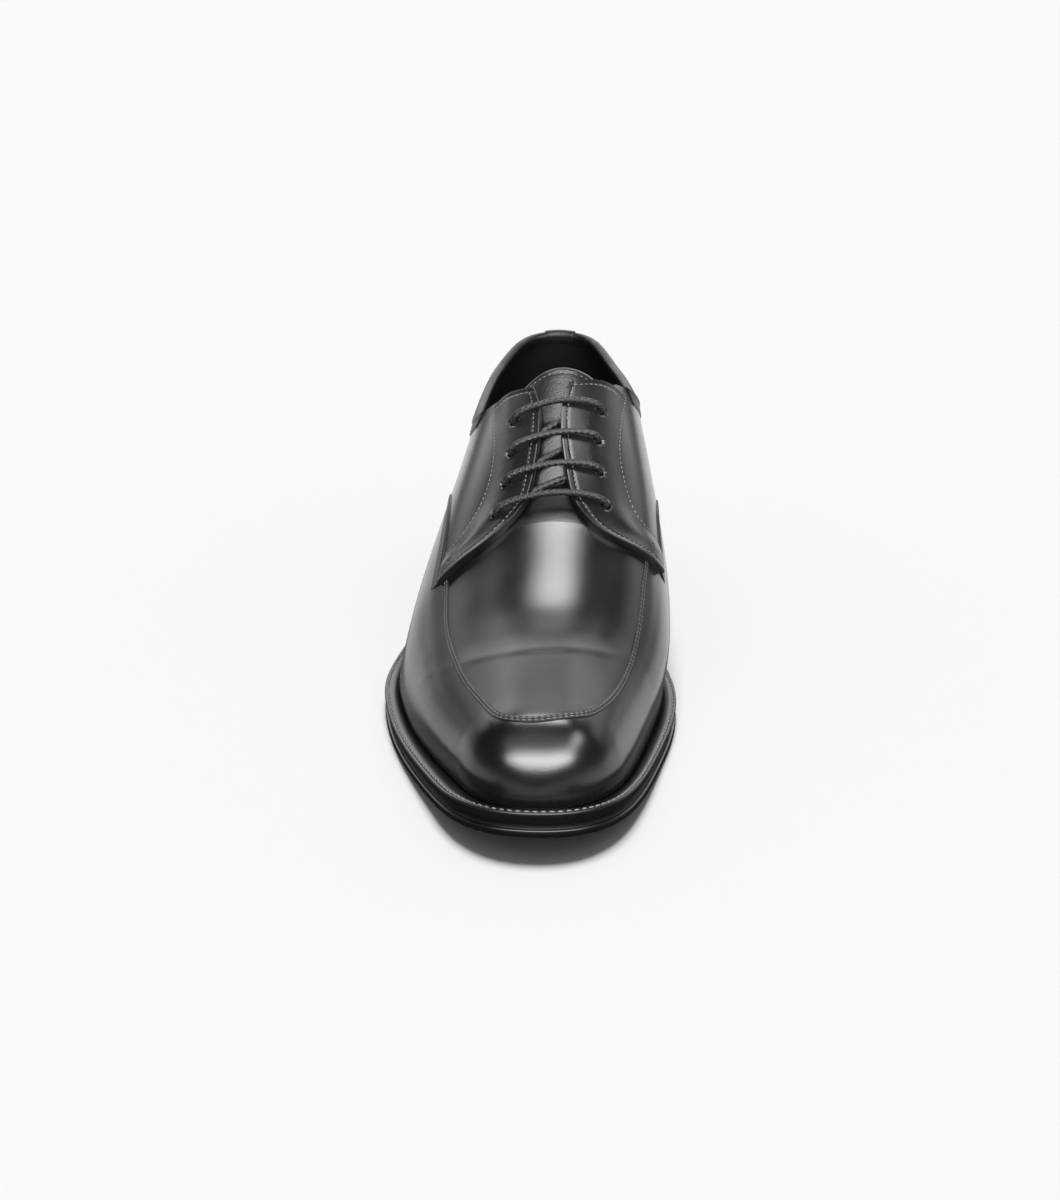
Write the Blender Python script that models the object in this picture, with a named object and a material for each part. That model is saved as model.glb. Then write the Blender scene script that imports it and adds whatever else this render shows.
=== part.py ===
"""A right moc toe lace-up dress shoe, standing empty on its sole.

Lengths here are millimetres; make_object turns them into metres. A point of the shoe is (x, s, z): x towards
the medial side from the line between heel and toe, s forward from the back of the heel, z up from the floor.
In Blender the toe points to -Y, the medial side is +X, and the origin is under the middle of the outsole.
"""

from collections import namedtuple

import bmesh
import bpy
import numpy as np

# Driving dimensions
MM = 0.001
LENGTH = 302.0
TOE_SPRING = 10.0
SEAT_RISE = 18.0
SEAT_PITCH = 3.0
SEAT_PITCH_LENGTH = 110.0
SEAT_FRONT = 72.0
FLAT_REAR = 186.0
FLAT_FRONT = 222.0
TOE_SPRING_POWER = 1.7
OUTSOLE_THICKNESS = 4.3
WELT_THICKNESS = 4.4
GAP = 0.3
WALL = 2.0
FACING_THICKNESS = 1.7
TONGUE_THICKNESS = 2.6
TONGUE_DEPTH = 2.9
INSOLE_THICKNESS = 2.8
INSOLE_CLEARANCE = 1.5
HEEL_BREAST = 76.0
LACE_RADIUS = 1.15
LACE_HOLE_RADIUS = 2.3
SOLE_EDGE = OUTSOLE_THICKNESS + GAP + WELT_THICKNESS

# Resolution of the meshes
LOOP_SAMPLES = 2400
PLATE_STATIONS = 38
UPPER_COLUMNS = 80
UPPER_ROWS = 12
COLUMN_RAYS = 240
FACING_STEPS_LONG = 24
FACING_STEPS_WIDE = 7
HOLE_SIDES = 14
APRON_SEAM_STEPS = 46
WING_SEAM_STEPS = 20
COLLAR_BAND_COLUMNS = 40
COLLAR_BAND_ROWS = 3
HEEL_TAB_COLUMNS = 9
HEEL_TAB_ROWS = 6
TONGUE_STEPS_LONG = 18
TONGUE_STEPS_WIDE = 9
LACE_SIDES = 7
LACE_RINGS_PER_POINT = 1.6
SHARP_ANGLE = np.radians(40.0)
PROBE = 0.05

OutlinePoint = namedtuple("OutlinePoint", "place x s")
SOLE_OUTLINE = (
    OutlinePoint("heel back", 0.0, 0.0),
    OutlinePoint("heel lateral corner", -22.0, 7.5),
    OutlinePoint("heel lateral side", -33.0, 32.0),
    OutlinePoint("heel lateral front", -34.5, 66.0),
    OutlinePoint("waist lateral", -38.5, 108.0),
    OutlinePoint("joint lateral rear", -48.5, 150.0),
    OutlinePoint("joint lateral", -56.8, 188.0),
    OutlinePoint("toe lateral rear", -53.8, 214.0),
    OutlinePoint("toe lateral middle", -45.4, 242.0),
    OutlinePoint("toe lateral front", -34.0, 270.0),
    OutlinePoint("toe lateral corner", -23.3, 289.8),
    OutlinePoint("toe lateral tip", -12.0, 299.2),
    OutlinePoint("toe tip", 1.4, LENGTH),
    OutlinePoint("toe medial tip", 14.5, 299.2),
    OutlinePoint("toe medial corner", 25.3, 290.0),
    OutlinePoint("toe medial front", 33.8, 272.0),
    OutlinePoint("toe medial middle", 41.5, 241.0),
    OutlinePoint("joint medial", 47.5, 203.0),
    OutlinePoint("joint medial rear", 44.5, 176.0),
    OutlinePoint("arch medial front", 35.0, 143.0),
    OutlinePoint("arch medial", 29.5, 108.0),
    OutlinePoint("arch medial rear", 30.5, 76.0),
    OutlinePoint("heel medial side", 32.0, 36.0),
    OutlinePoint("heel medial corner", 21.5, 7.5),
)

# How far the welt stands out from the upper on each side, along the shoe
WeltWidth = namedtuple("WeltWidth", "s lateral medial")
WELT_WIDTHS = (
    WeltWidth(0.0, 3.2, 3.2),
    WeltWidth(90.0, 3.0, 3.0),
    WeltWidth(130.0, 3.4, 3.4),
    WeltWidth(180.0, 4.8, 4.8),
    WeltWidth(230.0, 6.0, 5.6),
    WeltWidth(275.0, 7.6, 5.0),
    WeltWidth(LENGTH, 6.4, 6.4),
)

# The last's top line, from the toe's tip back over the instep; behind the collar it only shapes the walls
RidgePoint = namedtuple("RidgePoint", "place s z")
RIDGE = (
    RidgePoint("tip", 295.7, 17.6),
    RidgePoint("toe wall", 295.4, 23.6),
    RidgePoint("toe turn", 294.3, 29.0),
    RidgePoint("toe crown", 292.0, 33.2),
    RidgePoint("crown top", 288.5, 36.6),
    RidgePoint("apron front", 283.4, 40.1),
    RidgePoint("apron", 276.0, 42.4),
    RidgePoint("toe top", 262.0, 45.9),
    RidgePoint("vamp front", 243.0, 50.8),
    RidgePoint("vamp low", 230.0, 55.1),
    RidgePoint("vamp", 218.0, 60.7),
    RidgePoint("throat", 197.0, 71.5),
    RidgePoint("instep low", 175.0, 85.0),
    RidgePoint("instep", 150.0, 101.0),
    RidgePoint("instep top", 125.0, 117.0),
    RidgePoint("cone", 100.0, 130.0),
    RidgePoint("cone back", 78.0, 131.0),
    RidgePoint("heel front", 58.0, 119.0),
    RidgePoint("heel top", 36.0, 106.0),
    RidgePoint("heel back", 0.0, 102.0),
)

# Cross sections of the last: how far each side bulges past the welt's line and how high up, how full each
# side is, how round the top is, and where the top line lies across the shoe
Section = namedtuple(
    "Section",
    "s lateral_bulge medial_bulge bulge_height lateral_fullness medial_fullness roundness ridge_x",
)
SECTIONS = (
    Section(0.0, 2.0, 2.0, 22.0, 2.0, 2.0, 2.0, 0.0),
    Section(40.0, 2.5, 3.0, 24.0, 2.1, 2.1, 2.0, 1.0),
    Section(80.0, 2.5, 8.5, 30.0, 2.0, 2.4, 2.0, 3.0),
    Section(120.0, 2.5, 13.0, 34.0, 1.8, 2.6, 2.0, 4.5),
    Section(150.0, 2.8, 11.5, 32.0, 1.7, 2.7, 2.0, 5.0),
    Section(180.0, 1.0, 6.0, 26.0, 1.5, 2.5, 2.05, 5.0),
    Section(210.0, 0.0, 2.8, 20.0, 1.4, 2.2, 2.1, 4.5),
    Section(240.0, 0.8, 1.8, 13.0, 1.5, 1.75, 2.3, 3.5),
    Section(270.0, 1.4, 1.4, 9.0, 1.6, 1.6, 2.7, 2.8),
    Section(LENGTH, 1.2, 1.2, 8.0, 2.0, 2.0, 4.4, 2.0),
)

# The back of the heel: how far it leans forward at a height above the welt
HeelBack = namedtuple("HeelBack", "height forward")
HEEL_BACK = (
    HeelBack(0.0, 0.0),
    HeelBack(12.0, -1.5),
    HeelBack(25.0, -1.8),
    HeelBack(45.0, 1.3),
    HeelBack(65.0, 5.5),
    HeelBack(90.0, 11.0),
)
HEEL_LEAN_LENGTH = 95.0
BULGE_FADE = 12.0
END_RADIUS = 20.0

# Height of the topline on each side, from the back of the heel to the top of the facing
Topline = namedtuple("Topline", "s lateral_z medial_z")
TOPLINE = (
    Topline(0.0, 89.5, 89.5),
    Topline(20.0, 87.5, 87.5),
    Topline(40.0, 83.0, 84.0),
    Topline(60.0, 80.0, 82.5),
    Topline(80.0, 78.5, 82.0),
    Topline(95.0, 79.0, 84.5),
    Topline(110.0, 81.5, 90.5),
    Topline(120.0, 85.0, 96.5),
    Topline(130.0, 91.0, 102.0),
    Topline(137.0, 98.0, 106.0),
    Topline(143.0, 104.0, 109.0),
    Topline(160.0, 121.0, 122.0),
    Topline(LENGTH, 250.0, 250.0),
)

# The opening under the facings, as angles about the last's middle line (0 is up, lateral is negative)
ThroatEdge = namedtuple("ThroatEdge", "s lateral medial")
THROAT = (
    ThroatEdge(130.0, -17.5, 15.0),
    ThroatEdge(153.0, -17.5, 14.5),
    ThroatEdge(166.0, -19.5, 15.0),
    ThroatEdge(178.0, -23.0, 18.0),
    ThroatEdge(189.0, -32.0, 25.0),
    ThroatEdge(200.0, -36.0, 28.0),
)
THROAT_FRONT = 195.5
THROAT_REAR = 140.0
THROAT_SQUARENESS = 6.0

# Facing edges from the top of the throat to the corner on the side, as places along the shoe and angles
FacingRow = namedtuple("FacingRow", "place front_s front_angle rear_s rear_angle")
FACING_LATERAL = (
    FacingRow("top", 143.5, -7.5, 134.5, -22.5),
    FacingRow("first hole", 153.0, -6.0, 149.0, -22.5),
    FacingRow("second hole", 165.0, -6.5, 161.5, -23.5),
    FacingRow("third hole", 178.0, -8.5, 171.5, -26.5),
    FacingRow("fourth hole", 188.5, -12.5, 178.5, -32.0),
    FacingRow("bend", 195.0, -21.5, 182.0, -38.5),
    FacingRow("front", 198.0, -35.0, 183.5, -45.0),
    FacingRow("corner", 196.5, -59.0, 183.0, -52.5),
)
FACING_MEDIAL = (
    FacingRow("top", 143.5, 1.5, 129.5, 20.5),
    FacingRow("first hole", 152.0, 0.0, 146.0, 19.5),
    FacingRow("second hole", 164.0, 0.0, 158.5, 20.0),
    FacingRow("third hole", 177.0, 2.0, 168.0, 23.0),
    FacingRow("fourth hole", 188.0, 5.5, 175.5, 28.5),
    FacingRow("bend", 195.0, 13.0, 177.5, 34.0),
    FacingRow("front", 196.5, 27.0, 176.0, 39.5),
    FacingRow("corner", 186.5, 54.0, 172.0, 47.0),
)

# Lace holes of each facing from the top down, by the same two numbers
LaceHole = namedtuple("LaceHole", "s angle")
LACE_HOLES_LATERAL = (
    LaceHole(153.7, -14.0),
    LaceHole(166.3, -15.5),
    LaceHole(177.6, -18.5),
    LaceHole(188.0, -24.0),
)
LACE_HOLES_MEDIAL = (
    LaceHole(150.0, 11.0),
    LaceHole(162.5, 11.0),
    LaceHole(174.4, 13.0),
    LaceHole(186.0, 17.5),
)

# The lace's height off the last between two holes: over the facings in a bar, under them in a crossing
LACE_OVER = GAP + FACING_THICKNESS + GAP + LACE_RADIUS
LACE_UNDER = -LACE_RADIUS
LACE_IN_HOLE = GAP + FACING_THICKNESS / 2
LacePoint = namedtuple("LacePoint", "share offset")
LACE_BAR = (
    LacePoint(0.0, LACE_IN_HOLE),
    LacePoint(0.03, LACE_OVER - 0.5),
    LacePoint(0.1, LACE_OVER + 0.3),
    LacePoint(0.3, LACE_OVER + 0.1),
    LacePoint(0.5, LACE_OVER),
    LacePoint(0.7, LACE_OVER + 0.1),
    LacePoint(0.9, LACE_OVER + 0.3),
    LacePoint(0.97, LACE_OVER - 0.5),
    LacePoint(1.0, LACE_IN_HOLE),
)
LACE_CROSSING = (
    LacePoint(0.03, LACE_UNDER + 0.5),
    LacePoint(0.12, LACE_UNDER),
    LacePoint(0.5, LACE_UNDER),
    LacePoint(0.88, LACE_UNDER),
    LacePoint(0.97, LACE_UNDER + 0.5),
)

# The apron's raised seam, from the lateral facing round the toe to the medial facing
SeamPoint = namedtuple("SeamPoint", "s angle")
APRON_SEAM = (
    SeamPoint(200.8, -57.7),
    SeamPoint(214.7, -61.0),
    SeamPoint(225.7, -61.0),
    SeamPoint(238.6, -58.9),
    SeamPoint(253.8, -54.8),
    SeamPoint(267.5, -46.6),
    SeamPoint(274.9, -40.6),
    SeamPoint(280.0, -32.0),
    SeamPoint(282.1, -18.5),
    SeamPoint(282.0, 3.0),
    SeamPoint(278.9, 28.0),
    SeamPoint(274.6, 39.2),
    SeamPoint(268.9, 45.8),
    SeamPoint(259.2, 52.5),
    SeamPoint(243.8, 57.1),
    SeamPoint(231.6, 56.5),
    SeamPoint(220.8, 53.6),
    SeamPoint(212.6, 50.7),
    SeamPoint(199.6, 46.5),
)
WING_LATERAL = (
    SeamPoint(180.0, -52.5),
    SeamPoint(168.0, -49.0),
    SeamPoint(154.0, -48.5),
    SeamPoint(142.0, -52.0),
    SeamPoint(131.0, -64.0),
    SeamPoint(122.0, -84.0),
    SeamPoint(116.0, -102.0),
)
WING_MEDIAL = (
    SeamPoint(169.5, 48.5),
    SeamPoint(160.0, 45.5),
    SeamPoint(149.0, 46.0),
    SeamPoint(138.0, 51.0),
    SeamPoint(128.0, 64.0),
    SeamPoint(120.0, 84.0),
    SeamPoint(114.0, 101.0),
)
APRON_SEAM_WIDTH = 2.4
APRON_SEAM_HEIGHT = 1.0
WING_SEAM_WIDTH = 2.0
WING_SEAM_HEIGHT = 0.8

# A raised seam's cross section, as shares of its width and its height
SeamProfile = namedtuple("SeamProfile", "across rise")
SEAM_PROFILE = (
    SeamProfile(-0.5, 0.7),
    SeamProfile(-0.25, 1.0),
    SeamProfile(0.25, 1.0),
    SeamProfile(0.5, 0.7),
)

COLLAR_BAND_WIDTH = 7.0
COLLAR_BAND_THICKNESS = 0.8
COLLAR_BAND_GAP = 0.5
COLLAR_BAND_LATERAL_END = 130.0
COLLAR_BAND_MEDIAL_END = 125.0
HEEL_TAB_HALF_WIDTH = 7.5
HEEL_TAB_LENGTH = 26.0
HEEL_TAB_OVERHANG = 1.0
HEEL_TAB_THICKNESS = 1.0
HEEL_TAB_GAP = 0.5
HEEL_TAB_BACK = 20.0

TONGUE_TOP = 133.0
TONGUE_TOP_CORNER = 9.0
TONGUE_FRONT = 207.0
TONGUE_TOP_ANGLES = (-19.0, 26.0)
TONGUE_FRONT_ANGLES = (-34.0, 30.0)

# Edge profiles from the bottom up: the outsole has a bevelled tread edge and a recessed line under the welt
EdgeStep = namedtuple("EdgeStep", "inset height")
OUTSOLE_EDGE = (
    EdgeStep(1.0, 0.0),
    EdgeStep(0.2, 0.9),
    EdgeStep(0.0, 2.6),
    EdgeStep(1.3, 3.0),
    EdgeStep(1.3, OUTSOLE_THICKNESS),
)
WELT_EDGE = (
    EdgeStep(0.5, 0.0),
    EdgeStep(0.0, 0.9),
    EdgeStep(0.0, WELT_THICKNESS - 0.8),
    EdgeStep(0.7, WELT_THICKNESS),
)
WELT_INSIDE = 4.5

# The heel block's outline at shares of its height
HeelStep = namedtuple("HeelStep", "inset share")
HEEL_EDGE = (
    HeelStep(2.2, 0.0),
    HeelStep(1.6, 0.5),
    HeelStep(0.8, 1.0),
)

# Middle lines of the upper's rays: round the heel, across the waist, and round the toe
HEEL_AXIS = 40.0
TOE_AXIS = 172.0
SPINE_LIFT = 0.25
SPINE_LIFT_MOST = 15.0
TOE_AXIS_LIFT = 15.0
STEEPEST_RAY = np.radians(88.0)
RAY_SPREAD = 1.8
RAY_REACH = 260.0
BISECTIONS = 44


def spline(knots, values, at):
    """A natural cubic spline through one row of values at each knot, read at the places given."""
    knots = np.asarray(knots, float)
    values = np.asarray(values, float)
    step = np.diff(knots)
    slope = np.diff(values, axis=0) / step[:, None]
    size = len(knots)
    matrix = np.eye(size)
    right = np.zeros_like(values)
    for i in range(1, size - 1):
        matrix[i, i - 1 : i + 2] = step[i - 1], 2 * (step[i - 1] + step[i]), step[i]
        right[i] = 6 * (slope[i] - slope[i - 1])
    bend = np.linalg.solve(matrix, right)
    at = np.asarray(at, float)
    i = np.clip(np.searchsorted(knots, at) - 1, 0, size - 2)
    before = (at - knots[i])[:, None]
    after = (knots[i + 1] - at)[:, None]
    width = step[i][:, None]
    cubic = (bend[i] * after**3 + bend[i + 1] * before**3) / (6 * width)
    left = (values[i] / width - bend[i] * width / 6) * after
    return cubic + left + (values[i + 1] / width - bend[i + 1] * width / 6) * before


def chord_lengths(points):
    return np.concatenate([[0], np.cumsum(np.linalg.norm(np.diff(points, axis=0), axis=1))])


def open_curve(points, count):
    """Points on a smooth curve through the ones given."""
    points = np.asarray(points, float)
    at = chord_lengths(points)
    return spline(at, points, np.linspace(0, at[-1], count))


def closed_curve(points, count):
    points = np.asarray(points, float)
    wrap = 4
    wrapped = np.vstack([points[-wrap:], points, points[: wrap + 1]])
    at = chord_lengths(wrapped)
    places = np.linspace(at[wrap], at[wrap + len(points)], count, endpoint=False)
    return spline(at, wrapped, places)


def columns(rows, *names):
    """The named columns of a table, as arrays."""
    return [np.array([getattr(row, name) for row in rows], float) for name in names]


def smooth_step(t):
    t = np.clip(t, 0, 1)
    return t * t * (3 - 2 * t)


# Plan outlines


def inset(loop, distance):
    """The loop moved inwards; it runs from the heel along the lateral side to the toe and back."""
    along = np.roll(loop, -1, axis=0) - np.roll(loop, 1, axis=0)
    along /= np.linalg.norm(along, axis=1)[:, None]
    inward = np.c_[along[:, 1], -along[:, 0]]
    return loop + inward * np.broadcast_to(distance, len(loop))[:, None]


def halves(loop):
    """The lateral and the medial side of a loop, each from heel to toe."""
    heel = np.argmin(loop[:, 1])
    loop = np.roll(loop, -heel, axis=0)
    toe = np.argmax(loop[:, 1])
    lateral = loop[: toe + 1]
    medial = np.vstack([loop[toe:], loop[:1]])[::-1]
    return lateral, medial


SOLE_LOOP = closed_curve([(point.x, point.s) for point in SOLE_OUTLINE], LOOP_SAMPLES)
WELT_LATERAL = np.interp(SOLE_LOOP[:, 1], *columns(WELT_WIDTHS, "s", "lateral"))
WELT_MEDIAL = np.interp(SOLE_LOOP[:, 1], *columns(WELT_WIDTHS, "s", "medial"))
WELT_WIDTH = np.where(SOLE_LOOP[:, 0] < 0, WELT_LATERAL, WELT_MEDIAL)
FEATHER_LOOP = inset(SOLE_LOOP, WELT_WIDTH)
FEATHER_LATERAL, FEATHER_MEDIAL = halves(FEATHER_LOOP)
CENTRE_X = (SOLE_LOOP[:, 0].min() + SOLE_LOOP[:, 0].max()) / 2


# Heights along the sole


def sole_bottom(s):
    toe = np.clip((s - FLAT_FRONT) / (LENGTH - FLAT_FRONT), 0, None)
    seat = SEAT_RISE * smooth_step((FLAT_REAR - s) / (FLAT_REAR - SEAT_FRONT))
    pitch = SEAT_PITCH * smooth_step((SEAT_PITCH_LENGTH - s) / SEAT_PITCH_LENGTH)
    return TOE_SPRING * toe**TOE_SPRING_POWER + seat + pitch


def welt_top(s):
    return sole_bottom(s) + SOLE_EDGE


# The last


RIDGE_CURVE = open_curve([(point.s, point.z) for point in RIDGE], LOOP_SAMPLES)[::-1]
SECTION_S = np.linspace(0, LENGTH, LOOP_SAMPLES)
SECTION_TABLE = np.array([row[1:] for row in SECTIONS])
SECTION_CURVES = spline(columns(SECTIONS, "s")[0], SECTION_TABLE, SECTION_S)
HEEL_HEIGHTS = np.linspace(0, HEEL_BACK[-1].height, LOOP_SAMPLES)
HEEL_TABLE = np.array([[row.forward] for row in HEEL_BACK])
HEEL_CURVE = spline(columns(HEEL_BACK, "height")[0], HEEL_TABLE, HEEL_HEIGHTS)[:, 0]


def section_at(s):
    return Section(s, *[np.interp(s, SECTION_S, curve) for curve in SECTION_CURVES.T])


def ridge_height(s):
    return np.interp(s, RIDGE_CURVE[:, 0], RIDGE_CURVE[:, 1])


def last_shape(point):
    """Below zero inside the last, above zero outside it."""
    x, s, z = np.moveaxis(point, -1, 0)
    row = section_at(s)
    height = z - welt_top(s)
    lean = np.interp(height, HEEL_HEIGHTS, HEEL_CURVE) * np.clip(1 - s / HEEL_LEAN_LENGTH, 0, 1) ** 2
    place = s - lean
    heel_end, toe_end = FEATHER_LATERAL[0, 1], FEATHER_LATERAL[-1, 1]
    to_end = np.minimum(place - heel_end, toe_end - place)
    swell = smooth_step(height / row.bulge_height) * np.sqrt(np.clip(to_end / BULGE_FADE, 0, 1))
    lateral = row.ridge_x - np.interp(place, FEATHER_LATERAL[:, 1], FEATHER_LATERAL[:, 0])
    medial = np.interp(place, FEATHER_MEDIAL[:, 1], FEATHER_MEDIAL[:, 0]) - row.ridge_x
    across = x - row.ridge_x
    on_lateral = across < 0
    lateral = lateral + row.lateral_bulge * swell
    medial = medial + row.medial_bulge * swell
    half_width = np.maximum(np.where(on_lateral, lateral, medial), 0.0)
    fullness = np.where(on_lateral, row.lateral_fullness, row.medial_fullness)
    top = np.maximum(ridge_height(s) - welt_top(s), MM)
    closing = 1 - (np.maximum(height, 0) / top) ** fullness
    inside = half_width**row.roundness * closing
    past_end = -((2 * END_RADIUS * np.maximum(-to_end, 0)) ** (row.roundness / 2))
    return np.abs(across) ** row.roundness - np.where(to_end < 0, past_end, inside)


def last_normal(point):
    """The outward direction at points of the last's surface."""
    slopes = []
    for step in np.eye(3) * PROBE:
        slopes.append(last_shape(point + step) - last_shape(point - step))
    slopes = np.stack(slopes, axis=-1)
    return slopes / np.linalg.norm(slopes, axis=-1, keepdims=True)


def cast(origin, direction):
    """Where rays from inside the last leave it."""
    near = np.zeros(direction.shape[:-1])
    far = np.full(direction.shape[:-1], RAY_REACH)
    for _ in range(BISECTIONS):
        middle = (near + far) / 2
        inside = last_shape(origin + direction * middle[..., None]) < 0
        near = np.where(inside, middle, near)
        far = np.where(inside, far, middle)
    return origin + direction * near[..., None]


def spine(s):
    """The middle line that angles are measured about."""
    lift = np.minimum(SPINE_LIFT * (ridge_height(s) - welt_top(s)), SPINE_LIFT_MOST)
    return np.stack([section_at(s).ridge_x, s, welt_top(s) + lift], axis=-1)


def on_last(s, angle_degrees, offset=0.0):
    """Points of the last at places along the shoe and angles about its middle line, moved off its surface."""
    s, angle = np.broadcast_arrays(np.asarray(s, float), np.radians(angle_degrees))
    direction = np.stack([np.sin(angle), np.zeros_like(s), np.cos(angle)], axis=-1)
    point = cast(spine(s), direction)
    return point + last_normal(point) * np.asarray(offset)[..., None]


def height_off_last(point, out):
    """How far points near the last's surface stand off it along the direction given."""
    slope = (last_shape(point + out * PROBE) - last_shape(point - out * PROBE)) / (2 * PROBE)
    return last_shape(point) / slope


def angle_on_last(point):
    from_spine = point - spine(point[..., 1])
    return np.degrees(np.arctan2(from_spine[..., 0], from_spine[..., 2]))


def topline_height(point):
    s = point[..., 1]
    along, lateral, medial = columns(TOPLINE, "s", "lateral_z", "medial_z")
    on_lateral = point[..., 0] < section_at(s).ridge_x
    return np.where(on_lateral, np.interp(s, along, lateral), np.interp(s, along, medial))


def in_opening(point):
    """Above zero over the topline or in the throat."""
    s = point[..., 1]
    along, lateral, medial = columns(THROAT, "s", "lateral", "medial")
    low, high = np.interp(s, along, lateral), np.interp(s, along, medial)
    across = (angle_on_last(point) - (low + high) / 2) / ((high - low) / 2)
    forward = np.clip((s - THROAT_REAR) / (THROAT_FRONT - THROAT_REAR), 0, None)
    throat = 1 - np.abs(across) ** THROAT_SQUARENESS - forward**THROAT_SQUARENESS
    throat = np.where(s > THROAT[0].s, throat, -1.0)
    return np.maximum(point[..., 2] - topline_height(point), throat)


def column_path(foot, rows, drop=None, overhang=0.0):
    """Points up the last from a point of the feather line to the opening's edge, evenly spaced.

    With drop, only that length below the edge; with overhang, past the edge by that length.
    """
    x, s = foot
    axis_s = np.clip(s, HEEL_AXIS, TOE_AXIS)
    axis = spine(axis_s)
    if s > TOE_AXIS:
        axis[2] = welt_top(axis_s) + TOE_AXIS_LIFT
    outward = np.array([x - axis[0], s - axis[1], 0.0])
    reach = np.linalg.norm(outward)
    lowest = np.arctan2(welt_top(s) - axis[2], reach)
    spread = np.linspace(0, 1, COLUMN_RAYS) ** RAY_SPREAD
    rise = lowest + (STEEPEST_RAY - lowest) * spread
    up = np.array([0.0, 0.0, 1.0])
    direction = np.cos(rise)[:, None] * outward / reach + np.sin(rise)[:, None] * up
    path = cast(axis, direction)
    path[0] = x, s, welt_top(s)
    level = in_opening(path)
    first = np.argmax(level > 0)
    share = level[first - 1] / (level[first - 1] - level[first])
    along = chord_lengths(path)
    edge = along[first - 1] + share * (along[first] - along[first - 1])
    start = 0.0 if drop is None else edge - drop
    places = np.linspace(start, edge + overhang, rows)
    return np.stack([np.interp(places, along, axis_values) for axis_values in path.T], axis=-1)


# Meshes


def strip_faces(first, second, closed):
    """Quads between two rows of vertex numbers."""
    steps = len(first) if closed else len(first) - 1
    faces = []
    for i in range(steps):
        after = (i + 1) % len(first)
        faces.append((first[i], first[after], second[after], second[i]))
    return faces


def grid_faces(numbers, closed):
    faces = []
    for first, second in zip(numbers[:-1], numbers[1:]):
        faces += strip_faces(first, second, closed)
    return faces


def make_object(name, points, faces, material):
    """A closed mesh from points of the shoe, in metres in Blender's frame."""
    points = np.asarray(points, float)
    world = np.c_[points[:, 0] - CENTRE_X, LENGTH / 2 - points[:, 1], points[:, 2]] * MM
    mesh = bpy.data.meshes.new(name)
    mesh.from_pydata(world.tolist(), [], [tuple(int(i) for i in face) for face in faces])
    shaped = bmesh.new()
    shaped.from_mesh(mesh)
    bmesh.ops.recalc_face_normals(shaped, faces=shaped.faces)
    shaped.to_mesh(mesh)
    shaped.free()
    mesh.shade_smooth()
    mesh.set_sharp_from_angle(angle=SHARP_ANGLE)
    mesh.materials.append(material)
    made = bpy.data.objects.new(name, mesh)
    bpy.context.scene.collection.objects.link(made)
    return made


def sheet_solid(name, outer, inner, material, closed=False):
    """A sheet with thickness between two grids of points; closed where the rows run round."""
    rows, wide = outer.shape[:2]
    top = np.arange(rows * wide).reshape(rows, wide)
    under = top + rows * wide
    faces = grid_faces(top, closed) + [face[::-1] for face in grid_faces(under, closed)]
    faces += strip_faces(top[0], under[0], closed) + strip_faces(top[-1], under[-1], closed)
    if not closed:
        faces += strip_faces(top[:, 0], under[:, 0], False) + strip_faces(top[:, -1], under[:, -1], False)
    points = np.vstack([outer.reshape(-1, 3), inner.reshape(-1, 3)])
    return make_object(name, points, faces, material)


def plate_ring(loop, height, s_end=None):
    """A plan loop at even steps round it, lateral side first, with heights from a function of s."""
    lateral, medial = halves(loop)
    turn = np.pi if s_end is None else np.pi / 2
    share = (1 - np.cos(np.linspace(0, turn, PLATE_STATIONS))) / (1 - np.cos(turn))
    low = lateral[0, 1]
    high = lateral[-1, 1] if s_end is None else s_end
    s = low + (high - low) * share
    sides = []
    for side in (lateral, medial):
        x = np.interp(s, side[:, 1], side[:, 0])
        sides.append(np.stack([x, s, height(s)], axis=-1))
    return np.stack(sides)


def plate_solid(name, rings, material, open_front=False):
    """A plate from rings of plan points, bottom first; strips across close its top and bottom."""
    stations = rings[0].shape[1]
    ends = stations if open_front else stations - 1
    points = []
    numbers = []
    for ring in rings:
        start = len(points)
        points += list(ring[0]) + list(ring[1][1:ends])
        lateral = np.arange(start, start + stations)
        medial = np.arange(start + stations, start + stations + ends - 1)
        numbers.append((lateral, medial))
    faces = []
    loops = [np.concatenate([lateral, medial[::-1]]) for lateral, medial in numbers]
    faces += grid_faces(loops, True)
    for lateral, medial in (numbers[0], numbers[-1]):
        opposite = np.concatenate([lateral[:1], medial, lateral[-1:]])[:stations]
        for i in range(stations - 1):
            corners = (lateral[i], lateral[i + 1], opposite[i + 1], opposite[i])
            faces.append(tuple(dict.fromkeys(corners)))
    return make_object(name, points, faces, material)


def ring_about(middle, axis, side, radius, sides):
    """Points of a circle about an axis, from the side given."""
    turn = np.arange(sides) * 2 * np.pi / sides
    other = np.cross(axis, side)
    return middle + radius * (np.cos(turn)[:, None] * side + np.sin(turn)[:, None] * other)


def tube_solid(name, path, radius, sides, material):
    """A round cord along points."""
    along = np.gradient(path, axis=0)
    along /= np.linalg.norm(along, axis=1)[:, None]
    side = np.cross(along[0], (0.0, 1.0, 0.0))
    rings = []
    for middle, direction in zip(path, along):
        side = side - direction * (side @ direction)
        side /= np.linalg.norm(side)
        rings.append(ring_about(middle, direction, side, radius, sides))
    rings = np.array(rings)
    numbers = np.arange(rings.shape[0] * sides).reshape(-1, sides)
    faces = grid_faces(numbers, True) + [tuple(numbers[0]), tuple(numbers[-1])]
    return make_object(name, rings.reshape(-1, 3), faces, material)


def black(node, level, roughness):
    """The node's own material, a grey level near black."""
    material = bpy.data.materials.new(node + "_black")
    material.use_nodes = True
    shader = material.node_tree.nodes["Principled BSDF"]
    shader.inputs["Base Color"].default_value = (level, level, level, 1.0)
    shader.inputs["Roughness"].default_value = roughness
    shader.inputs["Metallic"].default_value = 0.0
    return material


# Sub-parts


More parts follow.
